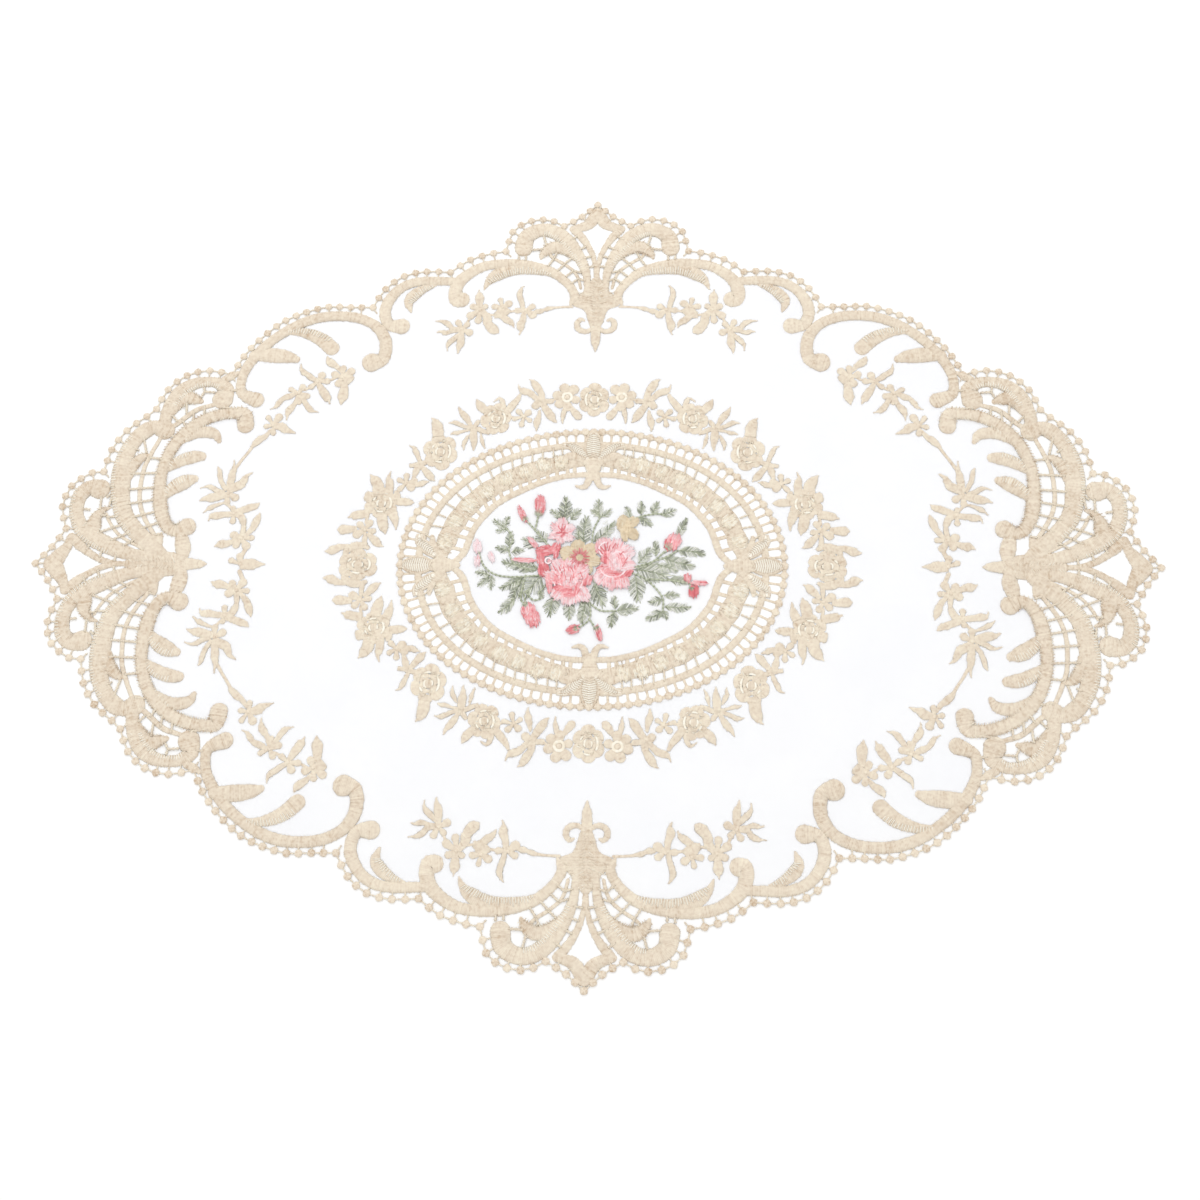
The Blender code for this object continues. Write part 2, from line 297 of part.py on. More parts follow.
# Leaves on the ground, from base to tip: x, y and width.
LEAVES = [
    [(0, 106, 4), (0, 102, 3.9), (0, 99, 3.4), (0, 96.6, 1.8), (0, 94, 0.4)],
    [(165, 0, 6), (161, 0, 4.6), (157.4, 0, 3.4), (155.4, 0, 2), (153.8, 0, 0.4)],
    [(10, 69.4, 1.2), (8.2, 66.8, 3), (6.6, 64.8, 3), (5.3, 63.6, 1)],
    [(11.8, 69, 1.8), (12.5, 66, 2), (12.9, 63.8, 1.2), (12.8, 61.4, 0.3)],
    [(21.6, 71.4, 3), (21.8, 74.4, 2.6), (22.9, 76.6, 3.3), (24.3, 78.8, 3), (25.6, 80.6, 1.2),
     (27, 81.4, 0.3)],
    [(22.6, 71.6, 2.4), (24.4, 73.2, 2.4), (26.6, 75.1, 3), (29, 76, 2.8), (30.6, 76.9, 1.2),
     (31.5, 79.1, 0.3)],
    [(22, 71.6, 2.4), (19.4, 71.5, 2.2), (17.6, 71.6, 2.3), (16.4, 71.9, 0.5)],
    [(22, 71.6, 3), (21, 69.8, 2.6), (19.5, 67.5, 3.3), (17.8, 65, 3.3), (16.7, 63.3, 1.7),
     (15.2, 62, 0.3)],
    [(22.4, 67.6, 0.6), (22.6, 65, 2.1), (23.2, 62.6, 2.8), (23.5, 60.4, 1.5), (23.4, 58, 0.3)],
    [(22.4, 71.4, 3.2), (24.2, 69.4, 2.9), (25, 68.2, 1.6)],
    [(30.4, 74.8, 1), (31.6, 72.4, 2.4), (33.2, 70.2, 3.1), (35, 67.8, 2.8), (36.4, 65.4, 1.6)],
    [(36.8, 68.6, 1.4), (37.7, 71, 2.1), (38.7, 72.7, 1.2), (40.1, 72.3, 0.8), (41.5, 71.2, 0.3)],
    [(44.4, 67, 3), (46.3, 68.8, 3.6), (47.6, 70.6, 2), (48.6, 72.4, 0.3)],
    [(50, 59.4, 2), (50.8, 61.2, 1.8), (51.9, 63.2, 2.7), (53.3, 65.1, 2.6), (54.8, 66.9, 1.5),
     (55.8, 69, 0.3)],
    [(50, 59.4, 1.8), (53.2, 60.2, 1.7), (56.3, 61.7, 2.1), (57.6, 61.9, 1.1), (59.6, 61.6, 0.3)],
    [(50.4, 58.7, 1.2), (53, 58.2, 1.2), (55.5, 57.4, 1.7), (57.3, 57.2, 1.2), (58.6, 56.6, 0.4)],
    [(51.2, 56.4, 0.5), (52.2, 54.2, 1.9), (53, 52.4, 1.5), (52.9, 49.6, 0.3)],
    [(49.2, 59, 2.6), (49.2, 56, 3.3), (48.8, 53, 2.2), (48.8, 51, 1.2), (48.8, 49.3, 0.3)],
    [(46.3, 57.4, 0.4), (45.7, 54.4, 1.6), (45, 52, 1), (44.2, 50.3, 0.3)],
    [(50.4, 59.5, 1.8), (47.5, 59, 2.1), (45.2, 58, 1.9), (42.6, 57, 1.2)],
    [(49, 60, 1.8), (47.9, 61.7, 1.9), (47.1, 63, 0.8)],
    [(63.6, 55.6, 4.6), (64, 59, 4.5), (64.8, 61.6, 3), (65.8, 63.1, 1.2), (66.9, 64, 0.3)],
    [(70.4, 43.6, 1.4), (71.3, 46.4, 1.9), (72.4, 48.8, 2.2), (73.4, 50.7, 1.1), (75.3, 51.6, 0.3)],
    [(70.2, 43, 1.8), (68, 40.3, 2.7), (66.3, 38.3, 3), (65, 36.8, 1.2), (64, 36.1, 0.3)],
    [(71, 43.4, 2.4), (69, 43.9, 2), (67.2, 44.4, 1.2)],
    [(70.6, 43.4, 2.4), (72.4, 43, 1.9), (74.8, 42.7, 1.5)],
    [(71, 43.2, 2), (71.8, 40.8, 2.7), (72.4, 38.6, 1.7), (72.8, 36.8, 1.4)],
    [(73, 34.2, 2), (69.9, 34.7, 2.5), (68.2, 35.4, 1.4), (66.4, 35.8, 0.3)],
    [(82.8, 26.6, 3.4), (82.4, 31, 3.3), (82.4, 35, 3), (82.9, 37.6, 1.3), (82.1, 40.3, 0.3)],
    [(86.6, 30, 4.6), (87, 33.6, 4.6), (88.3, 36.1, 3.5), (89.6, 37.7, 1.4), (90.7, 38.8, 0.3)],
    [(79, 27, 3.2), (76, 26.9, 3.3), (73.6, 26.7, 2), (72, 26.6, 0.4)],
    [(79, 27.6, 3), (79.2, 30.4, 2.2), (79.9, 31.8, 0.5)],
    [(80.6, 22.4, 3.8), (79.6, 19.8, 3.1), (79, 17.6, 1.6), (78.7, 14.8, 0.3)],
    [(84.8, 21.6, 4.2), (84.4, 18.6, 4.3), (83.8, 16.2, 3.4), (83.2, 14.5, 1.5), (82.9, 13, 0.3)],
    [(90, 21.9, 3.4), (93, 21.5, 3.6), (95.6, 21, 3.2), (97, 20.6, 1.3), (98.5, 20.1, 0.3)],
    [(88.6, 28.4, 4.2), (90.8, 29.2, 4.2), (92.2, 29.6, 2.6)],
    [(94.4, 15.3, 2), (97, 15.1, 3.5), (99.6, 14.9, 3.9), (101.2, 14.9, 2.3), (102.4, 14.8, 0.4)],
    [(90, 13.4, 1.6), (87.4, 10.8, 3.3), (86, 9.3, 2.9), (84.6, 8.2, 1.2), (83.2, 7.7, 0.3)],
    [(91, 12, 1.8), (90.8, 8.4, 2.2), (89, 6.8, 1.2)],
    [(90, 8.2, 2.4), (93.5, 8, 3.5), (96, 7.3, 3.2), (98, 5.8, 2.4), (98.6, 3.6, 1.4)],
    [(97, 7.8, 1.6), (100.4, 7.4, 2.9), (102.9, 6.4, 3.7), (104.9, 5.7, 1.9), (106.8, 5.7, 0.3)],
    [(17.4, 114.6, 0.9), (19.8, 114.2, 2.1), (21.4, 113.7, 1.5), (23.2, 113, 2.5), (25.8, 112.6, 1.4)],
    [(30.3, 112.6, 1.7), (31.1, 116.5, 2.2), (32.1, 119.8, 2.4), (32.2, 121.8, 2.1), (31.5, 123.8, 0.9),
     (30.5, 125, 0.3)],
    [(30, 113.6, 2), (30.5, 109.5, 2.7), (31.3, 107, 3.4), (31.4, 105.2, 2.4), (31.2, 103.7, 1),
     (32, 101.8, 0.3)],
    [(39.4, 115, 2), (37.6, 112.8, 3.6), (36.6, 111.8, 2.2)],
    [(39.4, 114.6, 2.6), (40.5, 112, 3.8), (41.6, 110.6, 1.8), (42.5, 109.9, 0.4)],
    [(40, 111.4, 2.6), (37.7, 109.2, 3), (35.8, 107.9, 2.3), (34.7, 106.6, 1.1), (34.1, 105.2, 0.3)],
    [(49, 114.4, 1.8), (49.1, 118, 3.8), (49.2, 120.2, 2.8), (49.3, 121.7, 0.9), (49.6, 123.2, 0.3)],
    [(48.2, 113.6, 2), (46, 110.6, 3.7), (45.2, 107.8, 3.8), (43.6, 105.3, 4.4), (42, 103.9, 3.1),
     (40.5, 102.8, 0.6)],
    [(55.4, 104.4, 2.2), (59, 104.4, 2.9), (61.2, 104.6, 2.4)],
    [(60.4, 105.2, 2), (61.9, 107, 2.5), (63.9, 108.1, 1.7), (65.2, 108.3, 0.8), (67.4, 108.4, 0.3)],
    [(60, 103.6, 1.6), (62.7, 103, 2.2), (64.6, 103.5, 1.1), (66.6, 103.1, 0.3)],
    [(56.6, 102.6, 1.6), (59.2, 100.1, 2.5), (61, 98.2, 1.9), (61.8, 96.4, 0.8), (61.6, 94.4, 0.3)],
    [(56, 104.4, 2), (56.2, 100.4, 3.1), (56.3, 98, 3), (57, 95.6, 1.5), (57.2, 93.2, 0.3)],
    [(105, 83.4, 2), (102.8, 81.8, 5), (101, 80.2, 3)],
    [(105.4, 84.6, 0.9), (107.5, 87.2, 2.5), (109.5, 88.7, 3.3), (111, 90, 2.2), (111.7, 92, 0.3)],
    [(103.6, 80.4, 2.4), (103.8, 76.6, 3.9), (104, 74.2, 4.2), (104.4, 72, 2.1), (104.6, 69.8, 0.3)],
    [(114.8, 80.4, 1.6), (117.4, 82, 2.5), (119.1, 83.3, 2.3), (121, 84.6, 2.4), (122.2, 86.1, 1.2),
     (122.5, 88.6, 0.3)],
    [(115, 80.4, 1.4), (113.4, 77.4, 3), (111.8, 75, 3.4), (110.6, 73, 3), (109.8, 71.8, 1.1),
     (109.1, 70.2, 0.3)],
    [(123.2, 75.4, 1.6), (126, 73.8, 2.7), (128.6, 72.7, 2), (130.2, 71, 2.3), (131.4, 69.2, 1.5),
     (132.6, 68.4, 0.6), (134, 67.8, 0.3)],
    [(121.6, 74.2, 2), (119.5, 70.8, 2.2), (118, 68.6, 2.6), (116.5, 67.2, 1.6), (115, 66.8, 0.6),
     (113.6, 66.4, 0.3)],
    [(122.2, 74.6, 2.2), (123.5, 70.8, 1.9), (125, 68.6, 3), (126.2, 66.8, 2.4), (126.5, 65, 1.1),
     (126.6, 62.8, 0.3)],
    [(132, 60.4, 2.4), (128.8, 59.9, 3.9), (126.6, 58.5, 2.6), (124.6, 57.8, 1.4), (122.3, 57, 0.3)],
    [(132.4, 59, 1), (134.6, 56, 2.2), (136.6, 54.5, 3), (138.4, 52.8, 2.4), (140.2, 50.8, 1)],
    [(148, 31.6, 2.4), (147.2, 36.6, 3.2), (147, 39, 2.6), (146.5, 41, 1.8), (146.6, 43, 0.8),
     (146.8, 45.2, 0.3)],
    [(148.8, 31.6, 1.8), (151.1, 35.4, 2), (152, 38.2, 2.1), (152.4, 40.4, 1.5), (153.3, 42.2, 0.3)],
    [(148.4, 31.2, 2.4), (145.4, 33, 3.7), (143.2, 34.2, 3.4), (141.9, 36.3, 2.6), (141, 38, 1.5),
     (138.6, 39.6, 0.3)],
    [(149.6, 30.4, 2.2), (152.8, 31.7, 2.2), (154.8, 32.9, 2), (156.8, 33.4, 1), (159.7, 32.6, 0.3)],
    [(148, 29.9, 2.4), (152.6, 28.9, 3.8), (155, 28.4, 3.2), (157.2, 28.1, 1.7), (159.4, 27.1, 0.3)],
    [(149, 26.4, 0.8), (152.2, 25.3, 1.6), (154.3, 24.3, 2.2), (155.8, 23.4, 1), (157.4, 21.9, 0.3)],
    [(144.6, 21.5, 2.4), (148.4, 21.2, 2.6), (151, 20.8, 3.2), (153.4, 20.6, 2.2), (154.4, 19.8, 0.8),
     (155, 18.4, 0.3)],
    [(145, 22, 2.4), (142.4, 20.8, 3), (141, 18.8, 2.6), (140.3, 16.6, 1.7)],
    [(144.6, 22, 2.6), (141.2, 23.2, 2.9), (138.6, 24.2, 3), (136.4, 24.9, 2.2), (134.7, 26.3, 0.3)],
    [(140.4, 17.6, 1.4), (140.4, 14.8, 2.2), (141, 11.6, 1.8)],
    [(140, 11.4, 1.6), (137, 14.9, 2.5), (135.8, 17.3, 3.1), (134.9, 19.6, 2.2), (134.1, 22, 0.3)],
    [(142.4, 10.6, 1.4), (145.6, 9.1, 2.8), (147.7, 8.6, 3.7), (149.6, 8.3, 2.1), (151.5, 7.4, 0.3)],
    [(140.4, 0, 4), (136.8, 0, 4.6), (134.4, 0, 3), (132.4, 0, 1.5), (130.2, 0, 0.3)],
]

# Thread stems on the ground: x, y and width along each.
STEMS = [
    [(10, 115.1, 1), (14.5, 114.9, 0.8), (18, 114.6, 1)],
    [(139.4, 51.6, 1.2), (141.3, 48.5, 1), (143.4, 45.5, 1), (145.2, 42.6, 1.2), (146.6, 40.6, 1.2)],
    [(148, 26, 1.2), (146.6, 24.4, 1), (145.2, 23, 1.2)], [(33.6, 113.2, 0.9), (36, 112.8, 0.9)],
    [(41.6, 111, 0.9), (45, 111.4, 0.9)], [(52.8, 110, 0.9), (54, 107.4, 0.9)],
    [(109.4, 81.2, 1), (107.4, 82.4, 1)], [(117.6, 78, 1), (120.4, 76.6, 1)],
    [(14.6, 73, 1), (17.4, 71.8, 1)], [(33, 64, 1), (36, 65, 1)], [(140.4, 3, 1.6), (139, 6, 1.6)],
    [(90.4, 21.6, 1.2), (91, 17.6, 1)], [(63, 47, 1), (69, 44.4, 1)], [(77, 33.6, 1), (79.6, 30.6, 1.2)],
]
STEM_WIDTH = 1.0            # stalks of the bouquet

# The bouquet, not mirrored. Green leaves: base x, y, tip x, y and half width.
BOUQUET_LEAVES = [
    (-11, 19, -10.4, 29.8, 2.2), (-12, 19.5, -17, 24.2, 1.1), (-8.6, 19.4, -4, 24.2, 1.2),
    (-3, 9, -1.6, 21.6, 2.4), (0.6, 10, 9.6, 19.6, 1.9), (3, 20, 2.6, 29, 1.5), (3, 21, -1.2, 24, 0.9),
    (3.6, 20.6, 8, 24.8, 1), (-5, 10.5, -5.6, 15.4, 1.1), (-22, 8, -27.6, 11.6, 2.2),
    (-18, 10, -22, 14.6, 1.9), (-33, 8, -32.4, 14.8, 1.4), (-34, 15.4, -40, 20, 1.1),
    (-34.6, 16.4, -33.2, 21.2, 0.9), (-34, 15.4, -39.2, 14.6, 0.8), (-33, 6, -38.8, 7.8, 1.3),
    (-32, 5.4, -26.6, 6.4, 1.2), (-24, -2.6, -36.6, 1.8, 1.6), (-21, -1.4, -30.6, 0.4, 1.7),
    (-40, -4.4, -46.8, -2.8, 0.9), (-40.6, -4.6, -45.4, -9.4, 1.1), (-39.4, -4.4, -39.6, -11, 1),
    (-27, -5, -37, -10, 1.5), (-20, -4, -26, -12, 4.6), (-27, -6, -31.6, -15.6, 2),
    (-30, -13.6, -37, -20, 1.7), (-21, -11, -18.4, -13.4, 0.9), (-14.4, -13, -16, -21.4, 2.6),
    (-8.4, -15, -8.2, -23, 1.9), (-1.4, -13, -3.6, -24.8, 2), (1, -8, 5.4, -17, 3),
    (17.4, -4, 18.4, -15.4, 2.9), (9.6, -18, 9.6, -12, 1), (9.4, -19, 8, -26, 1.6),
    (10, -19, 19.2, -18, 2), (18.6, 1, 23.6, 8, 2), (25.4, 4, 25, 11, 1.2), (33.6, 12, 38.2, 21, 1.2),
    (34, 6.4, 46, 4.4, 1.6), (28, 3.4, 42, -0.4, 2), (26, 0.6, 35, -2.6, 1.4), (19, -2, 30, -6, 3.4),
    (31, -5.6, 39.4, -7, 1.6), (28.6, -12.4, 35.4, -12.6, 1.2), (28, -14, 22.4, -15.6, 1.4),
    (29, -17, 40.2, -17.2, 1.4), (28.4, -19, 21, -22.2, 1.5), (28.6, -18.6, 30.6, -22.4, 0.9),
    (15.4, 20, 13.4, 25.6, 1), (19.6, 21.6, 19.8, 28, 1.1), (24, 22, 26, 27.8, 1.3),
    (27.6, 21.4, 34, 24, 1.5), (19, 20.4, 24.2, 16.4, 1.3),
]

# Stems of the bouquet: x, y along each.
BOUQUET_STEMS = [
    [(-9, 17), (-10.8, 20)], [(-19, 6), (-24, 9)], [(-16, -6), (-21, -12)], [(-10, -12), (-14.6, -15)],
    [(-8, -11), (-8.3, -17)], [(0, -4), (3, -11)], [(28, 5), (32, 8), (34.2, 13)],
    [(22, -5.6), (30, -6), (37, -7), (43.4, -7.6)], [(38.6, -7.2), (40.6, -11)], [(38, -7), (38.6, -5.4)],
    [(-26.6, -12), (-25, -18)], [(-27, -9), (-28.6, -13.6)], [(-15.8, 6.4), (-22, 14), (-28.2, 21)],
    [(-22.8, 14.4), (-21.2, 24)], [(0, 9), (0.6, 15), (3.4, 21)],
    [(-22, -2), (-30, 0), (-33, 6), (-31.6, 11), (-34.4, 16)],
    [(-18, -4), (-30, -5), (-38, -4), (-43, 0), (-45.4, 7)], [(-26, -4), (-27.6, -14), (-25, -16)],
    [(-26, -11), (-22.6, -14.6), (-18.8, -13.4)], [(-4, -9.6), (-1, -14), (-0.4, -22), (-6, -26.8)],
    [(-0.6, -22), (2.8, -27.4)], [(0, -16), (4, -18.8), (10, -18.8)], [(15, -1), (22, 0), (29, 6)],
    [(16, -3), (22, -6), (28, -13), (28.2, -19)], [(16, -1), (28, 3), (34, 6.2)],
    [(14.6, 19), (20, 21), (26, 22), (29, 21.4)], [(-6, 8), (-9, 14), (-11, 20)], [(4, 2), (14, 16)],
]

# Wide links under the flower heads, which make the foliage one piece: x, y along each.
BLOOM_LINKS = [
    [(-18.4, -1.6), (-8.4, -6.8), (-4.6, 3.2), (9.4, 1), (14.4, 15.6)],
    [(-17.2, 4.6), (-4.6, 3.2), (-11.4, 14.4)], [(-4.6, 3.2), (-4, 9.6)], [(9.4, 1), (15, -3)],
    [(-8.4, -6.8), (0, -10)],
]
LINK_WIDTH = 3.0

# Buds of the bouquet: x, y, half width, half length and turn in degrees.
BUDS = [
    (-21, 25, 2.3, 3.4, 0), (-28.4, 21.6, 1.5, 3.4, 25), (-45.6, 7.8, 1.8, 2.1, 0),
    (-45.4, 1.6, 1.5, 2, 0), (-23.8, -20.4, 3.8, 5.2, 20), (-6.8, -26.6, 2, 1.9, 0),
    (3, -27.8, 1.5, 3, 15), (32.4, 10.6, 3.4, 4, 0), (38.6, -6, 1.5, 2, 0), (43, -7.4, 1.2, 3.4, 90),
    (40.6, -11, 2.3, 2.4, 0),
]

# Flower heads: x, y, radius, number of petals and turn in degrees.
BLOOMS = [
    (-8.4, -6.8, 9.4, 8, 10), (9.4, 1, 8.9, 8, 30), (-17.2, 4.6, 5.4, 6, 0), (-18.4, -1.6, 4.4, 5, 40),
    (-4.6, 3.2, 7.4, 6, 60), (-11.4, 14.4, 5.2, 6, 90), (14.4, 15.6, 4.8, 5, 20), (-4, 9.6, 4, 5, 0),
    (12.4, 10.6, 2.8, 5, 0),
]


def smooth(rows, closed=False):
    """Points a SAMPLE_STEP apart on a smooth run through the rows, each row x, y and any other columns."""
    count = len(rows)
    spans = count if closed else count - 1
    run = []
    for i in range(spans):
        if closed:
            a, b, c, d = (rows[(i + k) % count] for k in (-1, 0, 1, 2))
        else:
            a, b, c, d = (rows[min(max(i + k, 0), count - 1)] for k in (-1, 0, 1, 2))
        steps = max(1, round(math.dist(b[:2], c[:2]) / SAMPLE_STEP))
        for k in range(steps):
            t = k / steps
            run.append(tuple(0.5 * (2 * q + (r - p) * t + (2 * p - 5 * q + 4 * r - s) * t * t
                                    + (3 * q - p - 3 * r + s) * t ** 3)
                             for p, q, r, s in zip(a, b, c, d)))
    if not closed:
        run.append(tuple(float(v) for v in rows[-1]))
    return run


def mirrored(points):
    """A list of points in each of the four quarters."""
    x_flip = [(-p[0], *p[1:]) for p in points]
    y_flip = [(p[0], -p[1], *p[2:]) for p in points]
    both = [(-p[0], -p[1], *p[2:]) for p in points]
    return [points, x_flip, y_flip, both]


def signed_area(points):
    return 0.5 * sum(p[0] * q[1] - q[0] * p[1] for p, q in zip(points, points[1:] + points[:1]))


def superellipse(oval, share):
    """The point of an oval at a share of the quarter turn, from the short axis round to the long one."""
    half_length, half_width, roundness = oval
    angle = share * math.pi / 2
    power = 2 / roundness
    return (math.copysign(half_length * abs(math.sin(angle)) ** power, math.sin(angle)),
            math.copysign(half_width * abs(math.cos(angle)) ** power, math.cos(angle)))


def oval_points(oval, count):
    return [superellipse(oval, -4 * k / count) for k in range(count)]


class Stitching:
    """Overlapping patches of cloth and stitching, and the raised lines of their crowns."""

    def __init__(self):
        self.patches = []       # outlines of stitching
        self.crowns = []        # runs of x, y and rise

    def patch(self, outline):
        outline = [tuple(p[:2]) for p in outline]
        if signed_area(outline) < 0:
            outline.reverse()
        self.patches.append(outline)

    def hull(self, points):
        """A patch that covers the points with no dents."""
        points = [tuple(p[:2]) for p in points]
        outline = []
        for i in convex_hull_2d(points):
            if all(math.dist(points[i], kept) > 0.02 for kept in outline):
                outline.append(points[i])
        if len(outline) > 2 and abs(signed_area(outline)) > 1e-3:
            self.patch(outline)

    def crown(self, run):
        self.crowns.append(thinned(run, CROWN_TOLERANCE))

    def ribbon(self, rows, rise, turns=8):
        """A band along smooth rows of x, y and width, with round ends and a crown of the given rise."""
        run = smooth(rows)
        edges = []
        for i, (x, y, width) in enumerate(run):
            before, after = run[max(i - 1, 0)], run[min(i + 1, len(run) - 1)]
            length = math.dist(before[:2], after[:2])
            nx, ny = (before[1] - after[1]) / length, (after[0] - before[0]) / length
            half = width / 2
            edges.append(((x + nx * half, y + ny * half), (x - nx * half, y - ny * half)))
        for (left, right), (next_left, next_right) in zip(edges, edges[1:]):
            self.hull([left, right, next_right, next_left])
        for x, y, width in (run[0], run[-1]):
            if width > ROUND_END_WIDTH:
                self.patch(disc(x, y, width / 2, turns))
        if rise > 0:
            crowned = [row for row in run if row[2] > CROWNED_WIDTH]
            self.crown([(x, y, rise * min(1, width / FULL_WIDTH)) for x, y, width in crowned])

    def bar(self, x1, y1, x2, y2, width):
        length = math.hypot(x2 - x1, y2 - y1)
        nx, ny = (y1 - y2) / length * width / 2, (x2 - x1) / length * width / 2
        self.patch([(x1 + nx, y1 + ny), (x1 - nx, y1 - ny), (x2 - nx, y2 - ny), (x2 + nx, y2 + ny)])

    def leaf(self, x1, y1, x2, y2, half_width, rise):
        """A pointed leaf from its base to its tip, widest a little before the middle."""
        self.patch([(x1, y1), at_side(x1, y1, x2, y2, LEAF_BELLY, half_width), (x2, y2),
                    at_side(x1, y1, x2, y2, LEAF_BELLY, -half_width)])
        x, y = at_side(x1, y1, x2, y2, LEAF_BELLY, 0)
        self.crowns.append([(x, y, rise)])

    def bent_leaf(self, rows, rise=LEAF_RISE):
        """A leaf along rows of x, y and width, with one crown where it is widest."""
        edges = []
        for (x, y, width), before, after in zip(rows, rows[:1] + rows, rows[1:] + rows[-1:]):
            length = math.dist(before[:2], after[:2])
            nx, ny = (before[1] - after[1]) / length * width / 2, (after[0] - before[0]) / length * width / 2
            edges.append(((x + nx, y + ny), (x - nx, y - ny)))
        for (left, right), (next_left, next_right) in zip(edges, edges[1:]):
            self.hull([left, right, next_right, next_left])
        x, y, _ = max(rows[1:], key=lambda row: row[2])
        self.crowns.append([(x, y, rise)])

    def flower(self, heart, petals, rise=LEAF_RISE):
        """A small flower: a petal out to each middle, and a raised heart."""
        for x, y, half_width in petals:
            length = math.dist(heart, (x, y))
            tip = half_width / length + 1
            belly = [at_side(*heart, x, y, 1, half_width), at_side(*heart, x, y, 1, -half_width)]
            self.hull([heart, *belly, at_side(*heart, x, y, tip, 0)])
        self.crowns.append([(*heart, rise)])

    def rose(self, x, y, half_length, half_width, turn, petals=6, rise=ROSE_RISE):
        """A rose: an oval outline, a ring of petals with creases between them, and a raised heart."""
        turns = [turn + 180 * k / petals for k in range(2 * petals)]
        self.patch([around(x, y, half_length, half_width, 1, degrees) for degrees in turns])
        for k in range(petals):
            lift = rise if k % 2 else rise / 2
            place = around(x, y, half_length, half_width, PETAL_RING, turn + 360 * (k + 0.25) / petals)
            self.crowns.append([(*place, lift)])
        self.crowns.append([(x, y, rise)])


def around(x, y, half_length, half_width, reach, degrees):
    """The point of an oval about x, y, out at a share of its radius."""
    angle = math.radians(degrees)
    return (x + half_length * reach * math.cos(angle), y + half_width * reach * math.sin(angle))


def polar(x, y, radius, degrees):
    angle = math.radians(degrees)
    return (x + radius * math.cos(angle), y + radius * math.sin(angle))


def at_side(x1, y1, x2, y2, share, offset):
    """The point at a share of the way from one point to another, moved sideways by the offset."""
    length = math.hypot(x2 - x1, y2 - y1)
    return (x1 + (x2 - x1) * share - (y2 - y1) / length * offset,
            y1 + (y2 - y1) * share + (x2 - x1) / length * offset)


def at_turn(x, y, across, along, degrees):
    """The point across and along from x, y in a frame turned by the degrees."""
    cos, sin = math.cos(math.radians(degrees)), math.sin(math.radians(degrees))
    return (x + across * cos - along * sin, y + across * sin + along * cos)


def disc(x, y, radius, turns=8):
    return [polar(x, y, radius, 360 * (k + 0.5) / turns) for k in range(turns)]


def thinned(run, tolerance):
    """A run of points with those left out that lie within the tolerance of the rest."""
    if len(run) < 3:
        return list(run)
    first, last = Vector(run[0]), Vector(run[-1])
    axis = last - first
    worst, index = -1.0, 0
    for i in range(1, len(run) - 1):
        point = Vector(run[i])
        share = (point - first).dot(axis) / axis.length_squared if axis.length_squared > 0 else 0
        away = (point - first - axis * min(max(share, 0), 1)).length
        if away > worst:
            worst, index = away, i
    if worst <= tolerance:
        return [run[0], run[-1]]
    return thinned(run[:index + 1], tolerance)[:-1] + thinned(run[index:], tolerance)


def thinned_loop(loop, tolerance):
    """The same for a closed outline, split at its two points that lie furthest apart."""
    start = max(range(len(loop)), key=lambda i: math.dist(loop[0], loop[i]))
    loop = loop[start:] + loop[:start]
    middle = max(range(len(loop)), key=lambda i: math.dist(loop[0], loop[i]))
    return (thinned(loop[:middle + 1], tolerance)[:-1]
            + thinned(loop[middle:] + loop[:1], tolerance)[:-1])


def sides_of(triangles):
    """For each edge, as a pair of point numbers in order, the triangles on its two sides."""
    sides = {}
    for index, (a, b, c) in enumerate(triangles):
        for p, q in ((a, b), (b, c), (c, a)):
            sides.setdefault((min(p, q), max(p, q)), []).append(index)
    return sides


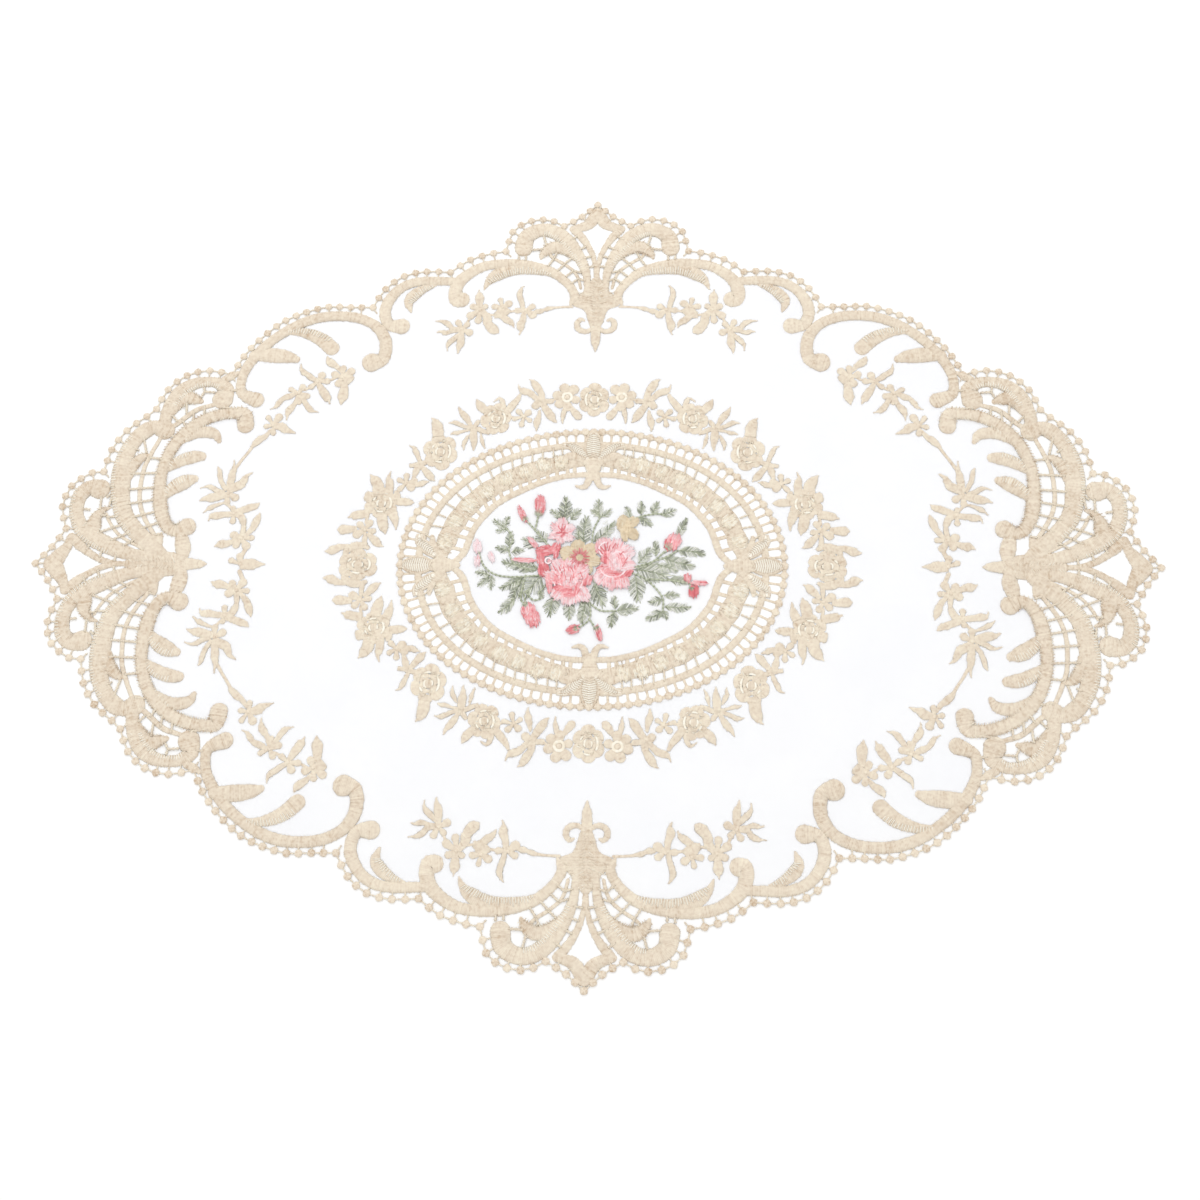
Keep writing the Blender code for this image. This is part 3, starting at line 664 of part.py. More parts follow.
class Regions:
    """The plane cut into triangles by overlapping shapes, each triangle stitching, plain ground or a gap."""

    def __init__(self, shapes, state_of):
        points, faces, kinds = [], [], []
        for kind, outline in shapes:
            start = len(points)
            points += outline
            faces.append(list(range(start, len(points))))
            kinds.append(kind)
        places = [Vector(p) for p in points]
        flat, _, self.triangles, _, _, owners = delaunay_2d_cdt(places, [], faces, 1, MERGE)
        self.points = [tuple(p) for p in flat]
        self.states = [state_of({kinds[k] for k in owner}) for owner in owners]
        self.sides = sides_of(self.triangles)

    def patches(self, state):
        """Joined groups of triangles of one state: group, area, reach across, on the outside or not."""
        seen = set()
        for start, own in enumerate(self.states):
            if own != state or start in seen:
                continue
            group, todo, area, open_side = [], [start], 0.0, False
            seen.add(start)
            while todo:
                index = todo.pop()
                group.append(index)
                a, b, c = self.triangles[index]
                area += abs(signed_area([self.points[i] for i in (a, b, c)]))
                for p, q in ((a, b), (b, c), (c, a)):
                    near = self.sides[(min(p, q), max(p, q))]
                    others = [k for k in near if k != index]
                    if others and self.states[others[0]] == state and others[0] not in seen:
                        seen.add(others[0])
                        todo.append(others[0])
                    open_side = open_side or not others
            places = [self.points[i] for index in group for i in self.triangles[index]]
            first = max(places, key=lambda p: math.dist(p, places[0]))
            reach = max(math.dist(p, first) for p in places)
            yield group, area, reach, open_side

    def close_small(self):
        """Turns gaps too narrow to cut, and slivers of ground or stitching, into what is round them."""
        for group, area, reach, open_side in list(self.patches(GAP)):
            if not open_side and area / reach < MIN_GAP_WIDTH:
                for index in group:
                    self.states[index] = STITCHING
        for state, other in ((GROUND, STITCHING), (STITCHING, GROUND)):
            for group, area, _, _ in list(self.patches(state)):
                if area < MIN_PATCH_AREA:
                    for index in group:
                        self.states[index] = other

    def pinches(self):
        """Places where two gaps meet in one point, so that the cloth would have no width there."""
        rims = {}
        for (p, q), near in self.sides.items():
            states = [self.states[k] for k in near] + [GAP] * (2 - len(near))
            if (states[0] == GAP) != (states[1] == GAP):
                rims[p] = rims.get(p, 0) + 1
                rims[q] = rims.get(q, 0) + 1
        return [self.points[p] for p, count in rims.items() if count > 2]

    def chains(self):
        """Runs of points between two states: whether each is a rim, whether it is closed, its points."""
        links, rim_links = {}, set()
        for (p, q), near in self.sides.items():
            states = [self.states[k] for k in near]
            if len(states) == 1:
                states.append(GAP)
            if states[0] != states[1]:
                links.setdefault(p, set()).add(q)
                links.setdefault(q, set()).add(p)
                if GAP in states:
                    rim_links.add((p, q))

        def is_rim(p, q):
            return (min(p, q), max(p, q)) in rim_links

        def is_joint(p):
            near = list(links[p])
            return len(near) != 2 or is_rim(p, near[0]) != is_rim(p, near[1])

        used = set()
        joints = [p for p in links if is_joint(p)]
        for start in joints + list(links):
            for second in list(links[start]):
                if (min(start, second), max(start, second)) in used:
                    continue
                run = [start, second]
                used.add((min(start, second), max(start, second)))
                while not is_joint(run[-1]) and run[-1] != start:
                    step = next(q for q in links[run[-1]] if q != run[-2])
                    used.add((min(run[-1], step), max(run[-1], step)))
                    run.append(step)
                closed = run[-1] == start and not is_joint(start)
                places = [self.points[i] for i in (run[:-1] if closed else run)]
                yield is_rim(run[0], run[1]), closed, places


def inside_of(triangles, is_rim):
    """Whether each triangle lies in the cloth: it does after an odd number of rims from the outside."""
    sides = sides_of(triangles)
    inside = [None] * len(triangles)
    todo = []
    for edge, near in sides.items():
        if len(near) == 1 and inside[near[0]] is None:
            inside[near[0]] = edge in is_rim
            todo.append(near[0])
            break
    while todo:
        index = todo.pop()
        a, b, c = triangles[index]
        for p, q in ((a, b), (b, c), (c, a)):
            edge = (min(p, q), max(p, q))
            for other in sides[edge]:
                if inside[other] is None:
                    inside[other] = inside[index] != (edge in is_rim)
                    todo.append(other)
    return inside


class Layer:
    """Input points and edges for one face of a solid, triangulated inside its rims."""

    def __init__(self):
        self.points, self.rises, self.edges, self.rims = [], [], [], set()

    def add(self, run, closed=False, rim=False):
        start = len(self.points)
        for p in run:
            self.points.append(tuple(p[:2]))
            self.rises.append(p[2] if len(p) > 2 else 0.0)
        ids = list(range(start, len(self.points)))
        pairs = list(zip(ids, ids[1:])) + ([(ids[-1], ids[0])] if closed else [])
        if rim:
            self.rims.update(range(len(self.edges), len(self.edges) + len(pairs)))
        self.edges += pairs

    def build(self):
        """Points, their heights over the foot, and the triangles in the cloth."""
        flat, edges, triangles, sources, edge_sources, _ = delaunay_2d_cdt(
            [Vector(p) for p in self.points], self.edges, [], 0, MERGE)
        sourced = zip(edges, edge_sources)
        rims = {(min(edge), max(edge)) for edge, source in sourced if self.rims & set(source)}
        kept = [t for t, inside in zip(triangles, inside_of(triangles, rims)) if inside]
        rises = {}
        near = {}
        for t in kept:
            for i in t:
                near.setdefault(i, set()).update(t)
                if sources[i]:
                    rises[i] = min(self.rises[k] for k in sources[i])
        for i, others in near.items():
            if i not in rises:
                known = [rises[k] for k in others if k in rises]
                rises[i] = sum(known) / len(known)
        return flat, rises, kept


def solid(name, chains, crowns, base, foot):
    """A closed solid, flat below, cut through along its rims, with its crowns raised on top.

    chains are the thinned runs (rim, closed, points) of its outline and creases; crowns are runs of x, y and
    rise. base is the height of the underside and foot the thickness of the cloth.
    """
    upper, lower = Layer(), Layer()
    for rim, closed, run in chains:
        upper.add(run, closed, rim)
        if rim:
            lower.add(run, closed, rim)
    for run in crowns:
        upper.add(run)
    top_points, rises, top = upper.build()
    low_points, _, low = lower.build()
    verts, polygons, ids = [], [], {}

    def corner(x, y, z, level):
        key = (round(x, 4), round(y, 4), level)
        if key not in ids:
            ids[key] = len(verts)
            verts.append((x * MM, y * MM, z * MM))
        return ids[key]

    for t in top:
        polygons.append([corner(*top_points[i], base + foot + rises[i], 1) for i in t])
    for t in low:
        polygons.append([corner(*low_points[i], base, 0) for i in reversed(t)])
    directed = {(t[k], t[(k + 1) % 3]) for t in low for k in range(3)}
    for a, b in sorted(directed):
        if (b, a) not in directed:
            low_a, low_b = (corner(*low_points[i], base, 0) for i in (a, b))
            top_a, top_b = (corner(*low_points[i], base + foot, 1) for i in (a, b))
            polygons.append([low_a, low_b, top_b])
            polygons.append([low_a, top_b, top_a])
    mesh = bpy.data.meshes.new(name)
    mesh.from_pydata(verts, [], polygons)
    mesh.validate()
    obj = bpy.data.objects.new(name, mesh)
    bpy.context.scene.collection.objects.link(obj)
    return obj


def thinned_chains(shapes, state_of):
    """The rims and creases of overlapping shapes, with small gaps closed and no part of no width."""
    regions = Regions(shapes, state_of)
    regions.close_small()
    while regions.pinches():
        shapes = shapes + [("stitching", disc(x, y, BAR_WIDTH / 2)) for x, y in regions.pinches()]
        regions = Regions(shapes, state_of)
        regions.close_small()
    for rim, closed, run in regions.chains():
        tolerance = OUTLINE_TOLERANCE if rim else CREASE_TOLERANCE
        yield rim, closed, thinned_loop(run, tolerance) if closed else thinned(run, tolerance)


def picot_centres():
    """Bead centres all round the mat, from the short axis's top, clockwise."""
    quarter = [PICOT_ARCS[0][1][0]]
    for beads, knots in PICOT_ARCS:
        run = smooth(knots)
        lengths = [0.0]
        for p, q in zip(run, run[1:]):
            lengths.append(lengths[-1] + math.dist(p, q))
        for k in range(1, beads + 1):
            goal = lengths[-1] * k / beads
            i = max(j for j in range(len(run) - 1) if lengths[j] <= goal)
            share = (goal - lengths[i]) / (lengths[i + 1] - lengths[i])
            quarter.append(tuple(p + (q - p) * share for p, q in zip(run[i], run[i + 1])))
    right_low = [(x, -y) for x, y in reversed(quarter)]
    left_low = [(-x, -y) for x, y in quarter]
    left_top = [(-x, y) for x, y in reversed(quarter)]
    return quarter[:-1] + right_low[:-1] + left_low[:-1] + left_top[:-1]


def picot_edge(work):
    """The row of beads: blunt teeth on a strip that reaches in to the border's bands."""
    centres = picot_centres()
    count = len(centres)
    valleys, normals = [], []
    for k in range(count):
        (x1, y1), (x2, y2) = centres[k], centres[(k + 1) % count]
        length = math.dist((x1, y1), (x2, y2))
        valleys.append(((x1 + x2) / 2, (y1 + y2) / 2))
        normals.append(((y1 - y2) / length, (x2 - x1) / length))
    for k, (x, y) in enumerate(centres):
        before, after = valleys[k - 1], valleys[k]
        (ax, ay), (bx, by) = normals[k - 1], normals[k]
        length = math.hypot(ax + bx, ay + by)
        nx, ny = (ax + bx) / length, (ay + by) / length
        work.hull([before, (x + nx * BEAD_RADIUS, y + ny * BEAD_RADIUS), after,
                   (after[0] - bx * EDGE_DEPTH, after[1] - by * EDGE_DEPTH),
                   (before[0] - ax * EDGE_DEPTH, before[1] - ay * EDGE_DEPTH)])


def border(work):
    """Scrolls, rails, bars and patches of the border in all four quarters."""
    for rows in SCROLLS.values():
        for quarter in mirrored(rows):
            work.ribbon(quarter, BAND_RISE)
    for rows in RAILS.values():
        for quarter in mirrored(rows):
            work.ribbon(quarter, 0)
    for x1, y1, x2, y2 in BARS:
        for ends in mirrored([(x1, y1), (x2, y2)]):
            work.bar(*ends[0], *ends[1], BAR_WIDTH)
    for outline in PATCHES.values():
        for quarter in mirrored(outline):
            work.patch(quarter)


def ring(work, inner, outer):
    """A closed oval band between two ovals."""
    near, far = oval_points(inner, MEDALLION_SIDES), oval_points(outer, MEDALLION_SIDES)
    for k in range(MEDALLION_SIDES):
        j = (k + 1) % MEDALLION_SIDES
        work.patch([near[k], far[k], far[j], near[j]])


def oval_crown(work, oval, rise):
    points = oval_points(oval, MEDALLION_SIDES)
    work.crowns.append([(x, y, rise) for x, y in points + points[:1]])


def grown(oval, amount):
    return (oval[0] + amount, oval[1] + amount, oval[2])


def medallion(work):
    """The oval frame: bead ring, outer band, ladder, wide band, slit, inner band and four fleurs."""
    ring(work, grown(OUTER_BAND, -OUTER_BAND_WIDTH / 2), grown(BEAD_OVAL, BEAD_RING_REACH))
    ring(work, grown(WIDE_BAND, -WIDE_BAND_WIDTH / 2), grown(WIDE_BAND, WIDE_BAND_WIDTH / 2))
    oval_crown(work, OUTER_BAND, OUTER_BAND_RISE)
    oval_crown(work, WIDE_BAND, WIDE_BAND_RISE)
    for quarter in mirrored(INNER_BAND_ROWS):
        work.ribbon(quarter, INNER_BAND_RISE)
    for x1, y1, x2, y2 in LADDER + SLIT:
        for ends in mirrored([(x1, y1), (x2, y2)]):
            work.bar(*ends[0], *ends[1], BAR_WIDTH)
    for rows in MEDALLION_FLEURS.values():
        for quarter in mirrored(rows):
            work.ribbon(quarter, LEAF_RISE)


def ground_motifs(work):
    """Roses, flowers, leaves and stems embroidered on the sheer ground."""
    for x, y, half_length, half_width, turn in WREATH_ROSES:
        for (px, py), flip in zip(four_places(x, y), (1, -1, -1, 1)):
            work.rose(px, py, half_length, half_width, turn * flip)
    for heart, petals in FLOWERS:
        for hearts, quarter in zip(mirrored([heart]), mirrored(petals)):
            work.flower(hearts[0], quarter)
    for rows in LEAVES:
        for quarter in mirrored(rows):
            work.bent_leaf(quarter)
    for rows in STEMS:
        for quarter in mirrored(rows):
            work.ribbon(quarter, 0)


def four_places(x, y):
    return [(x, y), (-x, y), (x, -y), (-x, -y)]


def all_round(quarter):
    """A quarter's line, from the short axis to the long axis, closed through all four quarters."""
    line = quarter + [(x, -y) for x, y in reversed(quarter[:-1])]
    return line + [(-x, -y) for x, y in quarter[1:]] + [(-x, y) for x, y in reversed(quarter[1:-1])]


def cloth_state(kinds):
    """What a triangle is, from the kinds of shape that cover it."""
    if "stitching" in kinds:
        return STITCHING
    if "centre" in kinds or ("ground" in kinds and "frame" not in kinds):
        return GROUND
    return GAP


def doily_cloth():
    """The whole mat as one flat solid."""
    work = Stitching()
    border(work)
    picot_edge(work)
    medallion(work)
    ground_motifs(work)
    shapes = [("stitching", outline) for outline in work.patches]
    centre = [(x, y) for x, y, _ in INNER_BAND_ROWS]
    for kind, outline in (("ground", all_round(GROUND_LINE)), ("frame", oval_points(BEAD_OVAL, OVAL_SIDES)),
                          ("centre", all_round(centre))):
        shapes.append((kind, outline if signed_area(outline) > 0 else outline[::-1]))
    chains = list(thinned_chains(shapes, cloth_state))
    return solid("doily_cloth", chains, work.crowns, 0.0, CLOTH_THICKNESS)


def bouquet_layer(name, work, base, foot):
    shapes = [("stitching", outline) for outline in work.patches]
    chains = list(thinned_chains(shapes, lambda kinds: STITCHING if kinds else GAP))
    return solid(name, chains, work.crowns, base, foot)


def stalk(work, x, y, joints):
    """A short stalk from a point to the nearest stem."""
    near = min(joints, key=lambda joint: math.dist(joint, (x, y)))
    if math.dist(near, (x, y)) > STEM_WIDTH / 4:
        work.bar(x, y, *near, STEM_WIDTH)


def bouquet_foliage():
    """Stems, leaves and buds, joined under the flower heads."""
    work = Stitching()
    for x, y, radius, _, _ in BLOOMS:
        work.patch(disc(x, y, radius * UNDER_BLOOM))
    for route in BOUQUET_STEMS:
        work.ribbon([(x, y, STEM_WIDTH) for x, y in route], 0)
    for route in BLOOM_LINKS:
        work.ribbon([(x, y, LINK_WIDTH) for x, y in route], 0)
    joints = [(x, y) for route in BOUQUET_STEMS for x, y in smooth(route)]
    joints += [(row[0], row[1]) for row in BLOOMS]
    for x1, y1, x2, y2, half_width in BOUQUET_LEAVES:
        work.leaf(x1, y1, x2, y2, half_width, BOUQUET_RISE)
        stalk(work, *at_side(x1, y1, x2, y2, LEAF_STALK, 0), joints)
    for x, y, half_width, half_length, turn in BUDS:
        work.patch([at_turn(x, y, u * half_width, v * half_length, turn) for u, v in disc(0, 0, 1)])
        work.crowns.append([(x, y, LEAF_RISE)])
        stalk(work, x, y, joints)
    base = CLOTH_THICKNESS + LAYER_GAP
    return bouquet_layer("bouquet_foliage", work, base, FOLIAGE_THICKNESS)


def bouquet_blooms():
    """The flower heads, one over the next."""
    work = Stitching()
    for x, y, radius, petals, turn in BLOOMS:
        work.rose(x, y, radius, radius, turn, petals, BOUQUET_RISE)
    base = CLOTH_THICKNESS + LAYER_GAP + FOLIAGE_THICKNESS + BOUQUET_RISE + LAYER_GAP
    return bouquet_layer("bouquet_blooms", work, base, BLOOM_THICKNESS)


def finish_with(obj, colour, roughness):
    material = bpy.data.materials.new(obj.name)
    material.use_nodes = True
    shader = material.node_tree.nodes["Principled BSDF"]
    shader.inputs["Base Color"].default_value = (*colour, 1.0)
    shader.inputs["Roughness"].default_value = roughness
    shader.inputs["Metallic"].default_value = 0.0
    obj.data.materials.append(material)
    obj.data.shade_smooth()
    obj.data.set_sharp_from_angle(angle=math.radians(SHARP_ANGLE))


def main():
    for obj in list(bpy.data.objects):
        bpy.data.objects.remove(obj, do_unlink=True)
    finish_with(doily_cloth(), CREAM, CLOTH_ROUGHNESS)
    finish_with(bouquet_foliage(), SAGE, THREAD_ROUGHNESS)
    finish_with(bouquet_blooms(), PINK, THREAD_ROUGHNESS)


main()
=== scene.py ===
"""The looks of the lace doily: satin-stitched scrolls, thread bars, picot beads, a sheer organza ground,
a wreath, sprigs and a coloured bouquet, every one of them modelled down to its stitches.

Tables are in millimetres. Those of the border, medallion, wreath and sprigs give one quarter of the mat,
which is mirrored about both axes; the bouquet's give it whole. A tone is 0 for dark thread and 1 for pale.
"""
import math

import bpy
import numpy as np
from mathutils import Matrix, Vector
from mathutils.geometry import delaunay_2d_cdt


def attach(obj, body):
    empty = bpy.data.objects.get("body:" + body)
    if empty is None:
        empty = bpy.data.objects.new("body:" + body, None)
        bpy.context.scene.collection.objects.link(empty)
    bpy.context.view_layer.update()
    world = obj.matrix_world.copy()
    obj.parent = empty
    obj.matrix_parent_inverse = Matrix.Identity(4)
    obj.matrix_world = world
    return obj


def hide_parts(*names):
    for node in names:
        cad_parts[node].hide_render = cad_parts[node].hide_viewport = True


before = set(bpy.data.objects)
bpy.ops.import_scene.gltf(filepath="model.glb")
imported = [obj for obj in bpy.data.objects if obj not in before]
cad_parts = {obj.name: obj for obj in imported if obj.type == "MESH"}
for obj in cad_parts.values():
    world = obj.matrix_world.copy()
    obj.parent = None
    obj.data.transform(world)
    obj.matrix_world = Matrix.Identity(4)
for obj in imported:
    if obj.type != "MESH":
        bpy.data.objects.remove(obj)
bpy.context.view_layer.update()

MM = 0.001
TINY = 1e-9
FLIPS = ((1, 1), (-1, 1), (1, -1), (-1, -1))        # signs of x and y in the four quarters
HANDED = (1, -1, -1, 1)     # and whether left stays left in them
SPAN_SAMPLES = 12           # of a smooth run, between two rows
OVAL_POINTS = 96

# Satin stitch.
PITCH = 0.6                 # from one satin stitch to the next
GROOVE = 0.12               # depth of the groove between two stitches
COMB = 0.22                 # how unevenly stitches end at a band's edge
BULGE = 0.17                # how far the thread swells past its stitching line on each side
LEAN_FROM = 1.8             # how far from a leaf's ends its stitches slant in full
STAGGER = 0.1               # how much the undersides of overlapping motifs differ
CAP_WIDTH = 0.25            # of the last stitch at a round end
NARROWEST = 0.1             # least half width
SLIM_WIDTH = 2.6            # bands no wider than this have the slim arch
FULL_WIDTH = 4              # bands this wide rise to their full crown
BROAD_ARCH = np.array([(-1, 0), (-0.94, 0.5), (-0.6, 0.92), (0, 1), (0.6, 0.92), (0.94, 0.5), (1, 0)])
SLIM_ARCH = np.array([(-1, 0), (-0.75, 0.7), (0, 1), (0.75, 0.7), (1, 0)])
VEIN_REACH = 1 / 3          # half width of a leaf's furrow, as a share of the leaf's
SKIN = 0.02                 # least height over the underside
STITCH_SHADE = 0.06         # how much the tone of single stitches wanders
GROOVE_PAINTED_SHADE = 0.16         # painted shade: how much darker the grooves between stitches are painted
EDGE_PAINTED_LIGHT = 0.08            # and painted light: how much paler the low edges are painted, against the shade there

# Twisted bars, knots and single threads.
BAR_RADIUS = 0.52
BAR_SIDES = 6
PLY_WIDE, PLY_HIGH = 1.2, 0.7       # half sizes of the two plies together, in radii
BAR_FLAT = 0.8              # how much a bar is pressed flat
BEAD_RADIUS = 1.48
BEAD_CROWN = 0.8
BEAD_PROFILE = ((0, 0.7), (0.2, 0.98), (0.55, 1), (0.85, 0.72), (1, 0.25))      # height and radius
WRAP_RELIEF, WRAP_SLANT, WRAP_PAINTED_SHADING = 0.09, 2.5, 0.12       # of the thread wound round a knot: its relief, its slant, and the painted light and shade of each wrap
STRAND_PROFILE = np.array([(0, 0.75), (0.2, 1), (0.8, 1), (1, 0.75)])           # length and width
STRAND_ARCH = 0.07
STRAND_CROWN = 0.4          # height of a thread, in its widths
FLECK_SWAY = 30             # how far stray stitches turn, in degrees
FLECK_HALF = (0.35, 0.75)   # and their half lengths
PATCH_LAP = 0.85            # from one thread of a filled oval to the next, in its widths
PATCH_STITCH = 2.6          # length of its threads
PATCH_OVERLAP = 0.5
RAGGED = (-0.6, 0.8)        # how far its threads end from the outline

# Heights.
BORDER_BASE = 0.05          # underside of the border's stitching
BORDER_CROWN = 0.7          # height of a broad band of the border over its underside
SHEER_HEIGHT = 0.13         # the organza's mean height
MOTIF_BASE = 0.16           # underside of the stitching on the organza
LEAF_CROWN = 0.4
NET_HEIGHT = 0.5            # middle of the thread bars
PATCH_LEVEL = 0.52          # underside of the first oval of thread in the bouquet, and how much each adds
PATCH_STEP = 0.006
EDGE_DEPTH = 3.4            # from a picot bead in to the band

# The camera, fitted by measure to the photograph.
FOCAL = 1562.7              # the lens in pixels of the photograph
PHOTO_SIDE = 1200           # which is this wide
SENSOR = 36.0
TILT, ROLL, TURN = 18.19, 1.753, -0.866             # how the mat is turned before the lens, in degrees
SHIFT = (-3.38, 13.58, 619.42)                      # from the lens to the mat's middle, in millimetres
FLOOR_HALF = 3              # in metres

# Scrolls of the border: x, y and width along each satin band.
SCROLLS = {
    "fleur_curl": [(1.4, 105.2, 1.6), (3, 103.8, 2), (5.2, 103.6, 2.4), (7.4, 105, 2.6), (7.7, 107.6, 2.4),
                   (6.2, 109.1, 2), (4.9, 108.5, 1)],
    "teardrop_strand": [(0.2, 127, 1.4), (0.4, 132, 1.6), (1, 136.6, 2), (2.5, 141.3, 2.4), (4.6, 145.3, 2.8),
                        (7.2, 149, 3.4), (9.6, 151.6, 3.6)],
    "teardrop_cap": [(10.4, 152.2, 3), (7, 153, 4), (3.8, 154.5, 4.8), (1.6, 157.4, 5.4), (0, 159.4, 6)],
    "crest": [(3.7, 121, 2.6), (3.9, 126, 2.8), (4.3, 130, 3.3), (5.6, 134.5, 4.2), (8.1, 139.6, 5.2),
              (11.7, 145, 6.2), (16, 149.4, 6.4), (21, 151.7, 6.2), (26, 151.3, 6.4), (30.2, 148.2, 7),
              (31.2, 143, 7.6)],
    "crest_inner": [(9, 138.6, 3.4), (13, 142.2, 5.2), (17.5, 143.5, 5.6), (20.8, 142.2, 5), (23, 139.8, 3),
                    (24, 137.6, 0.5)],
    "band_a": [(10.9, 115.7, 0.8), (10, 117.6, 2.6), (9.1, 120.2, 3.8), (10.6, 123.8, 3.6),
               (13.8, 127.6, 3.8), (18.5, 131.3, 4.2), (25, 134, 4), (33, 135.6, 4), (41, 135.5, 4.2),
               (48, 134.2, 4.4), (54, 130.8, 4.8), (58, 126.8, 5.4), (59.5, 122.4, 5.8), (58.6, 119, 7),
               (56.8, 118.5, 7)],
    "band_a_leaf": [(16.5, 129.3, 1.2), (22, 131.6, 3.2), (28, 132.6, 4.2), (34, 132.8, 5), (39, 131.8, 5.8),
                    (43, 129.6, 5.4), (45.8, 126.8, 3), (47.5, 123, 0.4)],
    "band_b": [(59, 127, 3.6), (67, 127.3, 4), (74, 127.2, 4), (80, 125.6, 4.2), (85, 121.7, 4.4),
               (88.2, 116, 4.8), (88.6, 110.8, 4.8), (86.4, 106.6, 5), (81.5, 106, 7.2)],
    "band_b_leaf": [(68, 125.6, 1.4), (73, 123.6, 3.6), (77, 120.6, 5), (79, 117, 4), (77.6, 112.4, 0.5)],
    "band_c": [(92.8, 89.2, 8.4), (88.6, 90.8, 5.8), (87.4, 95.7, 5.2), (88.7, 101.5, 5), (93, 106.6, 4.4),
               (99.5, 109.7, 4.4), (107, 110.8, 4.4), (115, 110.3, 4.4), (122.5, 108, 4.4), (129.5, 104, 4.2),
               (135.7, 99.2, 4.2), (140.8, 93.6, 4.4), (145.2, 86.6, 4.2), (146.9, 80.5, 3.9), (146, 75, 4.4),
               (140, 72, 6.6)],
    "band_c_leaf": [(131, 103, 1.6), (125, 103.4, 3.4), (119.5, 102.2, 5), (114.5, 99.6, 6),
                    (110.2, 95.8, 6.4)],
    "band_c_comma": [(142.5, 92.4, 4.4), (137, 92.6, 6.4), (131.6, 92.2, 6.4), (127.4, 91.5, 5),
                     (124.6, 90.6, 3)],
    "side_crest": [(154, 72.3, 8.6), (153.2, 77, 6.6), (157.3, 79.9, 4.6), (162.5, 80.2, 4.6),
                   (167.5, 78.9, 5.4), (171.9, 75.6, 6.4), (175, 70.6, 6), (176.6, 65.5, 5.4),
                   (177.2, 61.5, 5)],
    "side_crest_inner": [(162.8, 71.4, 2), (165.5, 72.3, 4.6), (169, 73, 6.2), (172.5, 71.2, 6.6),
                         (175, 67, 4.6)],
    "side_inner": [(143.4, 60.6, 7), (144.5, 65.4, 6), (149.5, 66, 4.8), (156, 64.9, 5), (162.4, 62, 5),
                   (168, 57.4, 5), (172.2, 51.6, 5), (174.9, 45, 4.8), (176.2, 38, 4.8), (176, 31, 5.4),
                   (175.2, 25.2, 5.8), (173.8, 20, 5.4), (171, 15.6, 5), (167.4, 14.2, 5.2),
                   (163.5, 15.8, 7.6)],
    "side_comma_1": [(171.5, 51.6, 2), (168, 55, 4.4), (163.5, 57.2, 5), (159, 57.5, 5), (155.5, 56.3, 4.2),
                     (153.7, 53.4, 1.8)],
    "side_comma_2": [(174.5, 40.6, 2.4), (171.3, 43.2, 4.6), (167.4, 45.3, 5.4), (163.4, 46.4, 5.4),
                     (160.4, 46.6, 4)],
    "side_comma_3": [(174.6, 28.5, 3), (172, 31.4, 5), (168.8, 34, 6.4), (165.2, 35.8, 5.8),
                     (162.4, 36.7, 3.4)],
    "side_outer": [(176.6, 58.3, 8.2), (180.6, 59.6, 6), (184.3, 58.4, 6.8), (188, 54.8, 6.4),
                   (190.7, 50, 6.6), (192.2, 44.5, 7.4), (192.7, 38.5, 8), (192.4, 32, 8), (191.3, 26, 7.4),
                   (189.4, 20.6, 7.4), (185.5, 15.5, 7), (181.5, 11.5, 7), (177, 8, 6.4), (172.5, 4.6, 4)],
    "side_outer_inner": [(182.5, 47.3, 1.2), (184.7, 46.3, 3.4), (187.2, 44, 4.6), (188.8, 40.5, 4),
                         (189.6, 37, 3)],
    "tip_scroll": [(200.7, 32.2, 8.4), (205.2, 32.6, 6.6), (208.5, 29.4, 6.2), (209.4, 24, 5.8),
                   (208.4, 19, 5.8), (205.6, 14.4, 6.6), (201, 11, 7), (195.5, 8.1, 7), (189.5, 5.6, 6.2),
                   (184, 3.9, 5), (177, 3, 5)],
    "tip_scroll_inner": [(195.4, 24.2, 0.8), (198.5, 22.9, 2.6), (201, 19.6, 4.8), (201.8, 15.5, 6.6),
                         (203, 12.5, 6)],
    "tip_strand": [(184, 0.2, 1.6), (190, 0.2, 1.8), (195, 1, 2.5), (199, 2.8, 2.6), (203, 5.3, 3),
                   (206.5, 8.2, 4.2), (209.5, 11.2, 3.4)],
    "tip_cap": [(210, 11.4, 3.4), (211.2, 7.4, 4), (213.6, 3.8, 6), (216.2, 0, 7.4)],
    "edge_link": [(148.6, 84.4, 1.6), (151.2, 82.8, 3.2), (154, 81.4, 3)],
    "ball_link": [(165.2, 10.6, 4), (165.4, 13.4, 4)],
    "tip_bead": [(165.4, 12.4, 4.6), (164.7, 9.4, 6), (164, 6.4, 6.2), (164, 3.8, 5), (165, 1.2, 4)],
    "fan_stub": [(173.8, 11.6, 2.4), (174.8, 9.4, 4.8), (176.4, 6, 7)],
}

# Rails of the net inside the motifs: x, y and width.
RAILS = {
    "crest_rail": [(6.6, 123.8, 1.1), (7.8, 128.6, 1.1), (9.8, 132, 1.2), (13.7, 135.2, 1.2),
                   (18.1, 138, 1.2), (20, 139.8, 1.2)],
    "side_rail_upper": [(157.5, 69.8, 1.6), (160.6, 68.9, 1.8), (163.6, 67.9, 2), (166.5, 66, 2),
                        (169, 63.8, 2), (171.6, 61.5, 2), (173.8, 59.8, 1.8)],
    "side_rail_lower": [(178.3, 54.5, 1.5), (180.3, 50.2, 1.6), (182, 46, 1.6), (183.4, 42, 1.6),
                        (184.1, 36, 1.6), (184.2, 30, 1.6), (183.3, 24.8, 1.6), (181.3, 20, 1.6),
                        (178.6, 15.6, 1.6), (175.8, 11.6, 1.6)],
    "tip_rail": [(197, 21.4, 1.1), (195, 17.6, 1.1), (191.6, 13.2, 1.1), (187.5, 10.2, 1.1), (183, 7.8, 1.1),
                 (180, 6.2, 1.1)],
}

